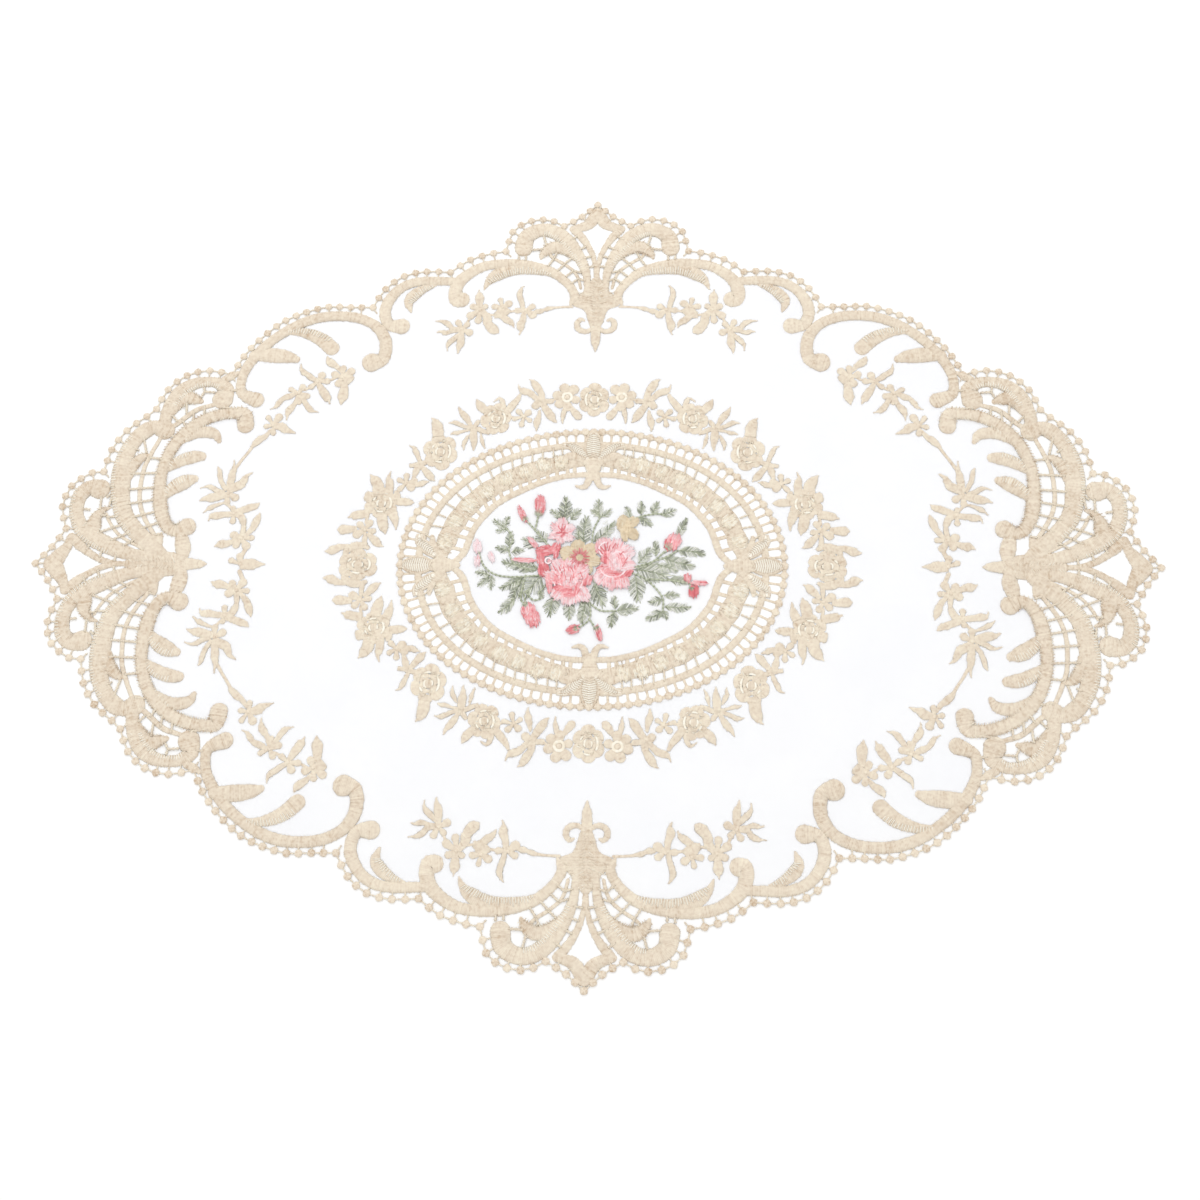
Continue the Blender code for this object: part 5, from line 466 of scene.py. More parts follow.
# The bouquet, not mirrored. Green leaves: base x, y, tip x, y and half width.
BOUQUET_LEAVES = [
    (-11, 19, -10.4, 29.8, 2.2), (-12, 19.5, -17, 24.2, 1.1), (-8.6, 19.4, -4, 24.2, 1.2),
    (-3, 9, -1.6, 21.6, 2.4), (0.6, 10, 9.6, 19.6, 1.9), (3, 20, 2.6, 29, 1.5), (3, 21, -1.2, 24, 0.9),
    (3.6, 20.6, 8, 24.8, 1), (-5, 10.5, -5.6, 15.4, 1.1), (-22, 8, -27.6, 11.6, 2.2),
    (-18, 10, -22, 14.6, 1.9), (-33, 8, -32.4, 14.8, 1.4), (-34, 15.4, -40, 20, 1.1),
    (-34.6, 16.4, -33.2, 21.2, 0.9), (-34, 15.4, -39.2, 14.6, 0.8), (-33, 6, -38.8, 7.8, 1.3),
    (-32, 5.4, -26.6, 6.4, 1.2), (-24, -2.6, -36.6, 1.8, 1.6), (-21, -1.4, -30.6, 0.4, 1.7),
    (-40, -4.4, -46.8, -2.8, 0.9), (-40.6, -4.6, -45.4, -9.4, 1.1), (-39.4, -4.4, -39.6, -11, 1),
    (-27, -5, -37, -10, 1.5), (-20, -4, -26, -12, 4.6), (-27, -6, -31.6, -15.6, 2),
    (-30, -13.6, -37, -20, 1.7), (-21, -11, -18.4, -13.4, 0.9), (-14.4, -13, -16, -21.4, 2.6),
    (-8.4, -15, -8.2, -23, 1.9), (-1.4, -13, -3.6, -24.8, 2), (1, -8, 5.4, -17, 3),
    (17.4, -4, 18.4, -15.4, 2.9), (9.6, -18, 9.6, -12, 1), (9.4, -19, 8, -26, 1.6), (10, -19, 19.2, -18, 2),
    (18.6, 1, 23.6, 8, 2), (25.4, 4, 25, 11, 1.2), (33.6, 12, 38.2, 21, 1.2), (34, 6.4, 46, 4.4, 1.6),
    (28, 3.4, 42, -0.4, 2), (26, 0.6, 35, -2.6, 1.4), (17.4, -1.8, 31.4, -5.6, 4),
    (31, -5.6, 39.4, -7, 1.6), (28.6, -12.4, 35.4, -12.6, 1.2), (28, -14, 22.4, -15.6, 1.4),
    (29, -17, 40.2, -17.2, 1.4), (28.4, -19, 21, -22.2, 1.5), (28.6, -18.6, 30.6, -22.4, 0.9),
    (15.4, 20, 13.4, 25.6, 1), (19.6, 21.6, 19.8, 28, 1.1), (24, 22, 26, 27.8, 1.3),
    (27.6, 21.4, 34, 24, 1.5), (19, 20.4, 24.2, 16.4, 1.3),
]

# Stems of the bouquet: x, y along each.
BOUQUET_STEMS = [
    [(-9, 17), (-10.8, 20)], [(-19, 6), (-24, 9)], [(-16, -6), (-21, -12)], [(-10, -12), (-14.6, -15)],
    [(-8, -11), (-8.3, -17)], [(0, -4), (3, -11)], [(28, 5), (32, 8), (34.2, 13)],
    [(22, -5.6), (30, -6), (37, -7), (43.4, -7.6)], [(38.6, -7.2), (40.6, -11)], [(38, -7), (38.6, -5.4)],
    [(-26.6, -12), (-25, -18)], [(-27, -9), (-28.6, -13.6)],
    [(-15.8, 6.4), (-22, 14), (-28.2, 21)], [(-22.8, 14.4), (-21.2, 24)], [(0, 9), (0.6, 15), (3.4, 21)],
    [(-22, -2), (-30, 0), (-33, 6), (-31.6, 11), (-34.4, 16)],
    [(-18, -4), (-30, -5), (-38, -4), (-43, 0), (-45.4, 7)], [(-26, -4), (-27.6, -14), (-25, -16)],
    [(-26, -11), (-22.6, -14.6), (-18.8, -13.4)], [(-4, -9.6), (-1, -14), (-0.4, -22), (-6, -26.8)],
    [(-0.6, -22), (2.8, -27.4)], [(0, -16), (4, -18.8), (10, -18.8)], [(15, -1), (22, 0), (29, 6)],
    [(16, -3), (22, -6), (28, -13), (28.2, -19)], [(16, -1), (28, 3), (34, 6.2)],
    [(14.6, 19), (20, 21), (26, 22), (29, 21.4)], [(-10.4, 18.4), (-11, 20)],
]

# Flower heads of the bouquet in ovals of thread, the upper ones last: x, y, half width, half length, turn in
# degrees, tone and how much the tone rises along the turn.
ROSE_PATCHES = [
    # what the two roses are laid on
    (9.2, 0.8, 5.6, 6.6, 92, 0.62, 0), (-8.8, -6.4, 6, 6.6, 95, 0.58, 0),
    # buds and loose petals
    (-21, 25.4, 2.2, 4, 92, 0.42, 0.16), (-28, 21.4, 1.3, 3.6, 116, 0.5, 0.12),
    (-45.6, 7.6, 1.7, 2.5, 100, 0.92, 0.05), (-45.4, 1.6, 1.3, 2.1, 90, 0.9, 0.05),
    (-39.8, 3.2, 1.2, 2, 110, 1.05, 0), (-24.3, -19.5, 3, 3.2, 105, 0.42, 0.15),
    (-22.8, -22, 3, 3.8, 108, 0.5, 0.15), (-6.8, -26.6, 1.8, 2.3, 20, 0.4, 0.1),
    (3.2, -28, 1.3, 3, 108, 0.38, 0.1), (32.6, 10.4, 2.9, 2.8, 60, 0.55, 0.15),
    (31.4, 8.8, 2.8, 2.6, 75, 0.32, 0.2), (38, -5.6, 1.5, 1.6, 90, 0.4, 0),
    (43, -7.2, 1, 3.2, 178, 0.42, 0), (40.4, -11, 2, 2.4, 90, 0.22, 0.05),
    (-26.6, 2, 1, 4.8, 176, 0.48, 0.1), (-23.4, 9.4, 1.1, 2.8, 130, 0.5, 0.2),
    # the red flower
    (-18.6, 6, 2.3, 3.8, 10, 0.22, 0), (-14.4, 7, 1.9, 2.2, 60, 0.3, 0), (-14.2, 4, 1.1, 1.6, 80, 0.34, 0),
    (-20.2, 2.6, 1.6, 2.6, 100, 0.32, 0), (-16.8, 1.2, 0.9, 0.9, 60, 0.4, 0),
    (-18.8, -2.4, 2.3, 2.8, 100, 0.2, 0),
    # the small pink flower
    (-12, 17, 2.4, 2.7, 92, 0.78, 0.12), (-9.5, 15.1, 2, 2.2, 30, 0.8, 0.12),
    (-9.7, 12, 2, 2.1, 330, 0.8, 0.12), (-12.3, 11, 2, 1.8, 270, 0.76, 0.14),
    (-14.6, 12.7, 1.8, 2.4, 190, 0.76, 0.12), (-14.3, 15.8, 1.8, 2.1, 140, 0.76, 0.12),
    (-11.9, 13.6, 1.3, 2.3, 90, 0.18, 0.05),
    # the right-hand rose: pale petals, coral ones and the deep folds
    (5, 7.4, 3.6, 3.9, 105, 0.68, 0.18), (9.8, 7.6, 3.4, 3.2, 70, 0.74, 0.14),
    (13, 5, 3.2, 3.6, 30, 0.84, 0.08), (13.9, 0, 3, 3.2, 0, 0.84, 0.05),
    (4.4, -4.4, 3, 3.4, 235, 0.72, 0.1), (8.2, -7, 3.6, 2.6, 265, 0.64, 0.12),
    (12.4, -6.6, 2.6, 2.8, 290, 0.68, 0.1), (9.4, 1.4, 3.4, 3.8, 90, 0.8, 0.05),
    (5.6, 3.4, 1.7, 3, 95, 0.34, 0.1), (12, 2.6, 1.7, 2.9, 110, 0.44, 0.05),
    (4.8, -1.8, 2.2, 3, 20, 0.46, 0), (8.6, -3.6, 1.6, 2.4, 350, 0.34, 0),
    (10.9, -5.1, 1.2, 2.1, 5, 0.16, 0), (14.6, -3.6, 1.3, 1.9, 50, 0.2, 0.05),
    # the lower rose
    (-13, -0.7, 3.2, 3, 120, 0.74, 0.14), (-8.4, -0.7, 3.6, 2.8, 85, 0.7, 0.14),
    (-4.6, -3, 2.8, 3.6, 40, 0.72, 0.1), (-14.4, -5.4, 2.6, 4, 160, 0.68, 0.1),
    (-3.6, -11.6, 3, 3.6, 300, 0.8, 0.1), (-8.4, -13.4, 4, 2.8, 268, 0.76, 0.1),
    (-12.8, -11.4, 2.6, 3, 230, 0.7, 0.1), (-8.8, -6.2, 3.8, 4, 90, 0.7, 0),
    (-16.6, -8, 1.3, 3.8, 96, 0.5, 0.05), (-1.6, -6.6, 1.8, 2.5, 70, 0.46, 0),
    (-13.8, -6.4, 0.9, 1.9, 92, 0.28, 0), (-11.7, -5.6, 0.8, 2, 85, 0.3, 0),
    (-12.6, -9.8, 1.2, 2.3, 350, 0.2, 0), (-9.8, -10.6, 2, 2.5, 20, 0.26, 0),
    (-8.6, -12.6, 0.9, 2.2, 0, 0.34, 0), (-5.8, -10.4, 0.9, 2.8, 75, 0.36, 0),
]
CREAM_PATCHES = [
    (12.2, 17.6, 2.4, 3.4, 80, 0.5, 0), (15.8, 18.2, 2.2, 2.7, 30, 0.52, 0),
    (12.9, 12.8, 1.4, 3, 100, 0.46, 0), (16.2, 13.5, 2.2, 2.6, 300, 0.46, 0),
    (14.1, 15.6, 1.5, 2, 90, 0.4, 0), (-9, 5, 2.9, 3.4, 160, 0.5, 0), (-5.4, 7.4, 2.8, 3, 100, 0.48, 0),
    (-0.8, 6, 2.9, 3.2, 50, 0.52, 0), (0.4, 2, 2.4, 2.8, 350, 0.54, 0), (-1.8, -1, 2.2, 2.6, 290, 0.5, 0),
    (-8.6, 2.4, 1.6, 3.4, 190, 0.48, 0), (-4.6, 3, 2.4, 2.4, 90, 0.5, 0),
]

# Single threads over the flower heads: x, y at both ends and tone.
ROSE_STREAKS = [
    (5.1, 9, 5.8, 6, 0.1), (7.4, 8.6, 6.7, 6, 0.15), (9.6, 9.2, 8.2, 7, 0.15), (2.4, 7, 4.6, 4.6, 0.2),
    (3.4, 8, 5, 5.6, 0.25), (6.4, 9.8, 6.2, 7, 0.3), (12.6, 5.8, 11.2, 4, 0.2), (14.4, 3.2, 12.8, 1, 0.25),
    (13.6, 1.4, 12.2, -0.6, 0.3), (-15.2, -0.4, -14, -2.6, 0.1), (-12.8, -0.8, -12.2, -2.6, 0.05),
    (-11.2, -0.6, -10.4, -2.8, 0.15), (-9.4, 0, -9, -2.4, 0.2), (-8.2, -0.8, -7, -3, 0.1),
    (-6.8, 0, -6.4, -2.2, 0.2), (-10.6, -3.6, -9.8, -6.4, 0.3), (-7.8, -4, -8.4, -7.6, 0.2),
    (-7, -3.6, -7.4, -6.6, 0.25), (-4.4, -2.8, -3.4, -5.4, 0.15), (-5.6, -9.2, -6.6, -13.4, 0.1),
    (-4.2, -9.8, -5.6, -12.4, 0.15), (-6.6, -8.4, -5.4, -10.6, 0.2), (-13.6, 16.4, -12.4, 14.6, 0.2),
    (-10.6, 16.6, -11.4, 14.8, 0.2), (-14.4, 13.4, -12.8, 13.6, 0.2), (-9.6, 13.4, -11, 13.7, 0.2),
    (-11.9, 17.4, -11.9, 15.2, 0.3), (-12.2, 11.6, -12, 12.8, 0.2),
]
# Pale outlines among the petals: x, y, half width, half height, start and span in degrees.
PALE_LOOPS = [
    (-8.8, -8.4, 3.2, 2.9, 20, 320), (-9, -7, 5.6, 4.8, 175, 190), (-9.6, -4.6, 3.6, 3, 30, 120),
    (-17.2, 1.8, 1.2, 1.2, 0, 340), (8.6, -1.2, 5, 3.8, 190, 150), (10.6, 2.4, 3, 3.2, -30, 170),
    (5.8, 6.6, 2.8, 3, 80, 160),
]

# Green threads that clasp the buds: x, y, turn in degrees and reach.
CALYXES = [
    (-21.8, 20.6, 80, 3.4), (-26.4, 18.6, 116, 2.4), (-4.9, -26, 200, 2.2), (2, -25.2, 290, 2.4),
    (29.6, 7, 45, 3.6), (39.6, -8.6, 270, 2.2), (-26.2, -15.6, 290, 2.2),
]
# The star on the cream flower: its middle, and its rays' turn, start, length and tone.
STAR = (-4.7, 3.1)
STAR_RAYS = [(k * 14 + 8, 1.5, 1.5 + 1.1 * (k % 3 != 1), 0.2 + 0.12 * (k % 3)) for k in range(25)]
LEAF_SPREAD = 0.55          # how much further than that the green leaves' stitches reach


# ---- runs of points -------------------------------------------------------------------------------------

def four(rows):
    """Rows of x, y and any other columns in the four quarters, each mirrored about its axis."""
    rows = np.array(rows, float)
    signs = np.ones((4, rows.shape[1]))
    signs[:, :2] = FLIPS
    return [rows * sign for sign in signs]


def mirrored(rows):
    """A run's copies in the quarters, or at both ends of the axis that it lies on."""
    quarters = four(rows)
    on_axis = not quarters[0][:, :2].any(0).all()
    return [quarters[0], quarters[3]] if on_axis else quarters


def four_places(x, y):
    """The point in each quarter, once where it lies on an axis."""
    return list(dict.fromkeys((x * flip_x, y * flip_y) for flip_x, flip_y in FLIPS))


def four_bars(bars):
    """The two ends of each thread bar, in the four quarters."""
    return [ends for bar in bars for ends in four(np.reshape(bar, (2, 2)))]


def round_the_mat(quarter):
    """A quarter's rows all round the mat, clockwise, with those on the axes kept once."""
    top_right, top_left, low_right, low_left = four(quarter)
    return np.vstack([top_right, low_right[-2::-1], low_left[1:], top_left[-2:0:-1]])


def widened(places, width):
    """Rows of x, y and one width for a run of points."""
    return np.column_stack([places, np.full(len(places), width)])


def smooth(rows, step, closed=False):
    """Evenly spaced points on a smooth run through the rows, whose columns are x, y and any others."""
    rows = np.array(rows, float)
    count = len(rows)
    share = np.linspace(0, 1, SPAN_SAMPLES, endpoint=False)[:, None]
    spans = []
    for i in range(count if closed else count - 1):
        ids = [(i + k) % count if closed else min(max(i + k, 0), count - 1) for k in (-1, 0, 1, 2)]
        a, b, c, d = rows[ids]
        spans.append(0.5 * (2 * b + (c - a) * share + (2 * a - 5 * b + 4 * c - d) * share ** 2
                            + (3 * b - a - 3 * c + d) * share ** 3))
    run = np.vstack(spans + [rows[:1] if closed else rows[-1:]])
    lengths = np.concatenate([[0], np.cumsum(np.linalg.norm(np.diff(run[:, :2], axis=0), axis=1))])
    pairs = max(1, round(lengths[-1] / step / 2))
    goals = np.linspace(0, lengths[-1], 2 * pairs + 1)
    even = np.column_stack([np.interp(goals, lengths, column) for column in run.T])
    return even[:-1] if closed else even


def directions(run, closed=False):
    """Unit vectors ahead and to the left along a run."""
    flat = run[:, :2]
    ahead = np.roll(flat, -1, 0) - np.roll(flat, 1, 0) if closed else np.gradient(flat, axis=0)
    ahead = ahead / np.maximum(np.linalg.norm(ahead, axis=1), TINY)[:, None]
    return ahead, np.column_stack([-ahead[:, 1], ahead[:, 0]])


def round_ended(run):
    """A run of x, y and width that goes on round its broad ends."""
    ahead, _ = directions(run)
    caps = []
    for end, way in ((0, -ahead[0]), (-1, ahead[-1])):
        radius = run[end, 2] / 2
        count = int(radius / (PITCH / 2))
        share = np.arange(1, count + 1)[:, None] / max(count, 1)
        places = run[end, :2] + way * radius * share
        caps.append(np.hstack([places, np.maximum(2 * radius * np.sqrt(1 - share ** 2), CAP_WIDTH)]))
    return np.vstack([caps[0][::-1], run[:, :3], caps[1]])


def oval_run(shape, step):
    """Evenly spaced points all round an oval, clockwise from the short axis."""
    half_length, half_width, roundness = shape
    power = 2 / roundness
    points = []
    for k in range(OVAL_POINTS):
        sine, cosine = math.sin(2 * math.pi * k / OVAL_POINTS), math.cos(2 * math.pi * k / OVAL_POINTS)
        points.append((math.copysign(half_length * abs(sine) ** power, sine),
                       math.copysign(half_width * abs(cosine) ** power, cosine)))
    return smooth(points, step, True)


def around(x, y, half_length, half_width, reach, degrees):
    """The point of an oval about x, y, out at a share of its radius."""
    return (x + half_length * reach * math.cos(math.radians(degrees)),
            y + half_width * reach * math.sin(math.radians(degrees)))


def polar(x, y, radius, degrees):
    return around(x, y, radius, radius, 1, degrees)


# ---- stitches -------------------------------------------------------------------------------------------

class Piece:
    """A mesh gathered from many stitches: its points, their tones and its faces."""

    def __init__(self, name, seed):
        self.name, self.draw = name, np.random.RandomState(seed)
        self.points, self.tones, self.quads, self.caps, self.total = [], [], [], [], 0

    def add(self, points, tones):
        first = self.total
        self.points.append(points.reshape(-1, 3))
        self.tones.append(np.broadcast_to(tones, points.shape[:-1]).reshape(-1))
        self.total += len(self.points[-1])
        return first

    def skin(self, here, ahead):
        """Faces between neighbouring rings of corners."""
        faces = np.stack([here, ahead, np.roll(ahead, -1, -1), np.roll(here, -1, -1)], -1)
        self.quads.append(faces.reshape(-1, 4))

    def loft(self, rings, tones, closed=False):
        """Joins rings of points, each ring right, up and left round the way ahead, into a closed skin."""
        stations, size = rings.shape[:2]
        ids = self.add(rings, tones) + np.arange(stations * size).reshape(stations, size)
        if closed:
            self.skin(ids, np.roll(ids, -1, 0))
            return
        self.skin(ids[:-1], ids[1:])
        self.caps += [ids[0].tolist(), ids[-1][::-1].tolist()]

    def finish(self, material):
        faces = np.vstack(self.quads).tolist() + self.caps
        mesh = bpy.data.meshes.new(self.name)
        mesh.from_pydata(np.vstack(self.points) * MM, [], faces)
        tone = mesh.attributes.new("tone", "FLOAT", "POINT")
        tone.data.foreach_set("value", np.concatenate(self.tones).astype(np.float32))
        return dressed(mesh, material)


def placed(name, data):
    obj = bpy.data.objects.new(name, data)
    bpy.context.scene.collection.objects.link(obj)
    return obj


def dressed(mesh, material):
    mesh.shade_smooth()
    mesh.materials.append(material)
    obj = placed(mesh.name, mesh)
    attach(obj, "root")
    return obj


def satin(piece, rows, crown, base, closed=False, lean=0.0, vein=0.0, tone=0.5, blunt=True, comb=COMB):
    """A band of satin stitch along rows of x, y and width: a ridge for each stitch, uneven at the edges.

    lean slants the stitches ahead towards the edges; vein is the depth of a furrow down the middle.
    """
    run = smooth(rows, PITCH / 2, closed)
    if blunt and not closed:
        run = round_ended(run)
    ahead, left = directions(run, closed)
    count, widths = len(run), run[:, 2:3]
    across, height = (BROAD_ARCH if widths.max() > SLIM_WIDTH else SLIM_ARCH).T
    ridge = (np.arange(count) % 2 == 0)[:, None]
    stitch = np.arange(count) // 2
    reach = piece.draw.uniform(-comb, comb, (count, 2))[stitch]
    half = np.maximum(widths / 2 + BULGE + np.where(ridge, reach, -comb), NARROWEST)
    offset = np.where(across < 0, half[:, :1], half[:, 1:]) * across
    rise = crown * np.minimum(1, np.sqrt(widths / FULL_WIDTH)) * height
    rise = rise - np.where(ridge, 0, GROOVE) * (height > 0) * np.minimum(1, widths / 2)
    rise = rise - vein * np.maximum(0, 1 - np.abs(across) / VEIN_REACH)
    along = np.arange(count) * PITCH / 2
    ease = np.minimum(1, np.minimum(along, along[::-1]) / LEAN_FROM)[:, None]
    flat = run[:, None, :2] + left[:, None] * offset[..., None]
    flat = flat + ahead[:, None] * (np.abs(offset) * lean * ease)[..., None]
    rings = np.concatenate([flat, (base + np.maximum(rise, SKIN * (height > 0)))[..., None]], -1)
    own = piece.draw.normal(0, STITCH_SHADE, count)[stitch][:, None]
    # Each stitch's own tone, with painted shade in the grooves and down the furrow, and painted light on the
    # low edges.
    shade = own - np.where(ridge, 0, GROOVE_PAINTED_SHADE) + EDGE_PAINTED_LIGHT * (1 - height) - vein / 2 * (across == 0)
    piece.loft(rings, tone + shade, closed)


def twist(piece, points, radius=BAR_RADIUS, height=NET_HEIGHT, tone=0.45, turn=1.5, painted_shading=0.12):
    """A thread bar of two plies wound round each other; turn is the length of one turn."""
    run = smooth(points, turn / 4)
    _, left = directions(run)
    spin = math.pi * np.arange(len(run)) / 4 + piece.draw.uniform(0, 6)
    corner = np.linspace(0, 2 * math.pi, BAR_SIDES, endpoint=False)
    wide, high = radius * PLY_WIDE * np.cos(corner), radius * PLY_HIGH * np.sin(corner)
    right = wide * np.cos(spin)[:, None] - high * np.sin(spin)[:, None]
    up = wide * np.sin(spin)[:, None] + high * np.cos(spin)[:, None]
    flat = run[:, None, :2] - left[:, None] * right[..., None]
    rings = np.concatenate([flat, (height + BAR_FLAT * up)[..., None]], -1)
    # The bar's tone, with painted light and shade that come and go as the plies turn.
    piece.loft(rings, tone + painted_shading * np.abs(np.sin(spin))[:, None])


def bead(piece, x, y, radius=BEAD_RADIUS, crown=BEAD_CROWN, base=BORDER_BASE, tone=0.5, sides=12):
    """A knot of thread: a low round button whose wraps lie slantwise."""
    corner = np.linspace(0, 2 * math.pi, sides, endpoint=False)
    phase, wraps = piece.draw.uniform(0, 6), sides // 3
    rings = []
    for level, share in BEAD_PROFILE:
        reach = radius * share * (1 + WRAP_RELIEF * np.cos(wraps * corner + phase + WRAP_SLANT * level))
        rings.append(np.column_stack([x + reach * np.cos(corner), y - reach * np.sin(corner),
                                      np.full(sides, base + crown * level)]))
    own = piece.draw.normal(0, STITCH_SHADE)
    # The knot's tone, with painted light and shade in a stripe for each wrap.
    piece.loft(np.array(rings), tone + own + WRAP_PAINTED_SHADING * np.cos(wraps * corner + phase)[None])


def strand(start, end, level, width, tone, end_level=None):
    """A single thread for stitches(): its ends, its height at them, its width and its tone."""
    return (*start, *end, level, level if end_level is None else end_level, width, tone)


def stitches(piece, strands):
    """Single threads, thinner at their ends and a little arched."""
    rows = np.array(strands, float)
    start, end, low, high = rows[:, None, 0:2], rows[:, None, 2:4], rows[:, None, 4], rows[:, None, 5]
    shares, slim = STRAND_PROFILE[:, 0], STRAND_PROFILE[:, 1]
    thick = slim * rows[:, None, 6]
    way = (end - start) / np.maximum(np.linalg.norm(end - start, axis=2, keepdims=True), TINY)
    side = np.concatenate([-way[..., 1:], way[..., :1]], -1) * thick[..., None] / 2
    middle = start + (end - start) * shares[:, None]
    level = low + (high - low) * shares + STRAND_ARCH * np.sin(math.pi * shares)
    corners = [np.concatenate([middle - side, level[..., None]], -1),
               np.concatenate([middle, (level + STRAND_CROWN * thick)[..., None]], -1),
               np.concatenate([middle + side, level[..., None]], -1)]
    rings = np.stack(corners, 2)
    ids = piece.add(rings, rows[:, 7][:, None, None]) + np.arange(rings[..., 0].size).reshape(rings.shape[:3])
    piece.skin(ids[:, :-1], ids[:, 1:])
    piece.caps += ids[:, 0].tolist() + ids[:, -1, ::-1].tolist()


def turned(x, y, along, across, degrees):
    """The point that lies along and across a turned way from x, y."""
    cos, sin = math.cos(math.radians(degrees)), math.sin(math.radians(degrees))
    return x + along * cos - across * sin, y + along * sin + across * cos


def flecks(piece, x, y, half_width, half_length, turn, count, level, tone, spread, width=0.4):
    """Short stray stitches over an oval, lying about along the turn."""
    strands = []
    for _ in range(count):
        reach, at = math.sqrt(piece.draw.uniform(0, 1)), piece.draw.uniform(0, 2 * math.pi)
        middle = turned(x, y, reach * half_length * math.cos(at), reach * half_width * math.sin(at), turn)
        heading, half = turn + piece.draw.normal(0, FLECK_SWAY), piece.draw.uniform(*FLECK_HALF)
        ends = polar(*middle, -half, heading), polar(*middle, half, heading)
        strands.append(strand(*ends, level, width, tone + piece.draw.normal(0, spread)))
    stitches(piece, strands)


def patch(piece, x, y, half_width, half_length, turn, tone, level, spread=0.1, fade=0.0, width=0.5, ragged=1):
    """Threads that fill an oval, laid along the turn; fade is how much the tone rises along them."""
    count = max(2, round(2 * half_width / (width * PATCH_LAP)))
    strands = []
    for k in range(count):
        across = ((k + 0.5) / count * 2 - 1) * half_width
        reach = half_length * math.sqrt(1 - (across / half_width) ** 2)
        near = -reach - ragged * piece.draw.uniform(*RAGGED)
        far = reach + ragged * piece.draw.uniform(*RAGGED)
        joins = np.linspace(near, far, max(2, round((far - near) / PATCH_STITCH) + 1))
        joins[1:-1] += piece.draw.uniform(-PATCH_OVERLAP, PATCH_OVERLAP, len(joins) - 2)
        for start, end in zip(joins, joins[1:] + PATCH_OVERLAP):
            ends = turned(x, y, start, across, turn), turned(x, y, end, across, turn)
            shade = fade * (start + end) / 2 / half_length + piece.draw.normal(0, spread)
            strands.append(strand(*ends, level, width, tone + shade))
    stitches(piece, strands)


# ---- the border -----------------------------------------------------------------------------------------

def filled_forms():
    return [form for rows in FILLED.values() for form in mirrored(rows)]


def border_bands():
    """The satin scrolls of the border, with the fleur's foot and the fan at the long axis."""
    piece = Piece("border_bands", seed=11)
    for order, (name, rows) in enumerate(SCROLLS.items()):
        inner = name.endswith(INNER_BANDS)
        # The side bands get painted shade, for the light that falls off towards the sides.
        tone = 0.5 - INNER_SHADE * inner - SIDE_PAINTED_SHADE * (rows[0][1] < SIDE_BELOW)
        crown = BORDER_CROWN * (INNER_CROWN if inner else 1)
        for quarter in four(rows):
            satin(piece, quarter, crown, BORDER_BASE + LAP * (order % 5), tone=tone)
    for rows in filled_forms():
        satin(piece, rows, BORDER_CROWN * FILLED_CROWN, BORDER_BASE, vein=0.06, tone=0.42, blunt=False)
    return piece.finish(cream_thread("border_satin"))


def border_stitches():
    """The finer stitching over the border: parted edges, seams, and the filled forms' slanting stitches."""
    piece = Piece("border_stitches", seed=14)
    for name, rows in SCROLLS.items():
        if name in FRINGES:
            side, depth, first, last = FRINGES[name]
            for quarter, turn in zip(four(rows), HANDED):
                fringe(piece, quarter, side * turn, depth, first, last)
        elif name.endswith("_inner"):
            for quarter in four(rows):
                seam(piece, quarter)
    for rows in filled_forms():
        chevrons(piece, rows)
    return piece.finish(cream_thread("seam_thread"))


def seam(piece, rows):
    """Short needle stitches, dark and pale, over both edges of a band where it lies against its neighbour."""
    run = smooth(rows, PITCH)
    ahead, left = directions(run)
    threads = []
    for k in range(3, len(run) - 3, 2):
        for side in (-1, 1):
            edge = run[k, :2] + left[k] * side * run[k, 2] / 2
            half = (left[k] * side + ahead[k] * 0.5) * piece.draw.uniform(0.4, 0.7)
            tone = piece.draw.choice(SEAM_TONES)
            threads.append(strand(edge - half, edge + half, level=0.66, width=0.3, tone=tone))
    stitches(piece, threads)


def fringe(piece, rows, side, depth, first, last):
    """Pale threads that part a band's stitches from one edge in to a depth, over a share of its length."""
    run = smooth(rows, 0.55)
    _, left = directions(run)
    threads = []
    for k in range(int(len(run) * first), int(len(run) * last), 2):
        edge = run[k, :2] + left[k] * side * run[k, 2] / 2
        inner = edge - left[k] * side * piece.draw.uniform(0.6, 1.1) * min(depth, run[k, 2] - 0.6)
        tone = piece.draw.uniform(0.95, 1.3)
        threads.append(strand(inner, edge, level=0.74, end_level=0.5, width=0.4, tone=tone))
    stitches(piece, threads)


def chevrons(piece, rows):
    """Stitches that slant from the middle of a filled form out to its edges, over its satin."""
    run = smooth(rows, PITCH)
    ahead, left = directions(run)
    threads = []
    for k in range(2, len(run) - 4, 2):
        for side in (-1, 1):
            half = run[k, 2] / 2 * piece.draw.uniform(0.7, 0.95)
            near = run[k, :2] + left[k] * side * piece.draw.uniform(0.2, 1)
            far = run[k, :2] + left[k] * side * half + ahead[k] * min(half * 0.5, 2.5)
            tone = piece.draw.choice(CHEVRON_TONES)
            threads.append(strand(near, far, level=0.6, end_level=0.4, width=0.3, tone=tone))
    stitches(piece, threads)


def border_net():
    """The braided rails and the twisted thread bars across the border's open gaps."""
    piece = Piece("border_net", seed=12)
    for rows in RAILS.values():
        for quarter in four(rows):
            satin(piece, quarter, crown=0.6, base=NET_HEIGHT - 0.35, tone=0.48, comb=0.12)
    for ends in four_bars(BARS):
        twist(piece, ends)
    return piece.finish(cream_thread("net_thread"))


def picot_centres():
    """Bead centres of one quarter, from the short axis to the long one."""
    quarter = [PICOT_ARCS[0][1][0]]
    for beads, knots in PICOT_ARCS:
        run = smooth(knots, 0.2)
        quarter += [run[round((len(run) - 1) * k / beads)] for k in range(1, beads + 1)]
    return quarter


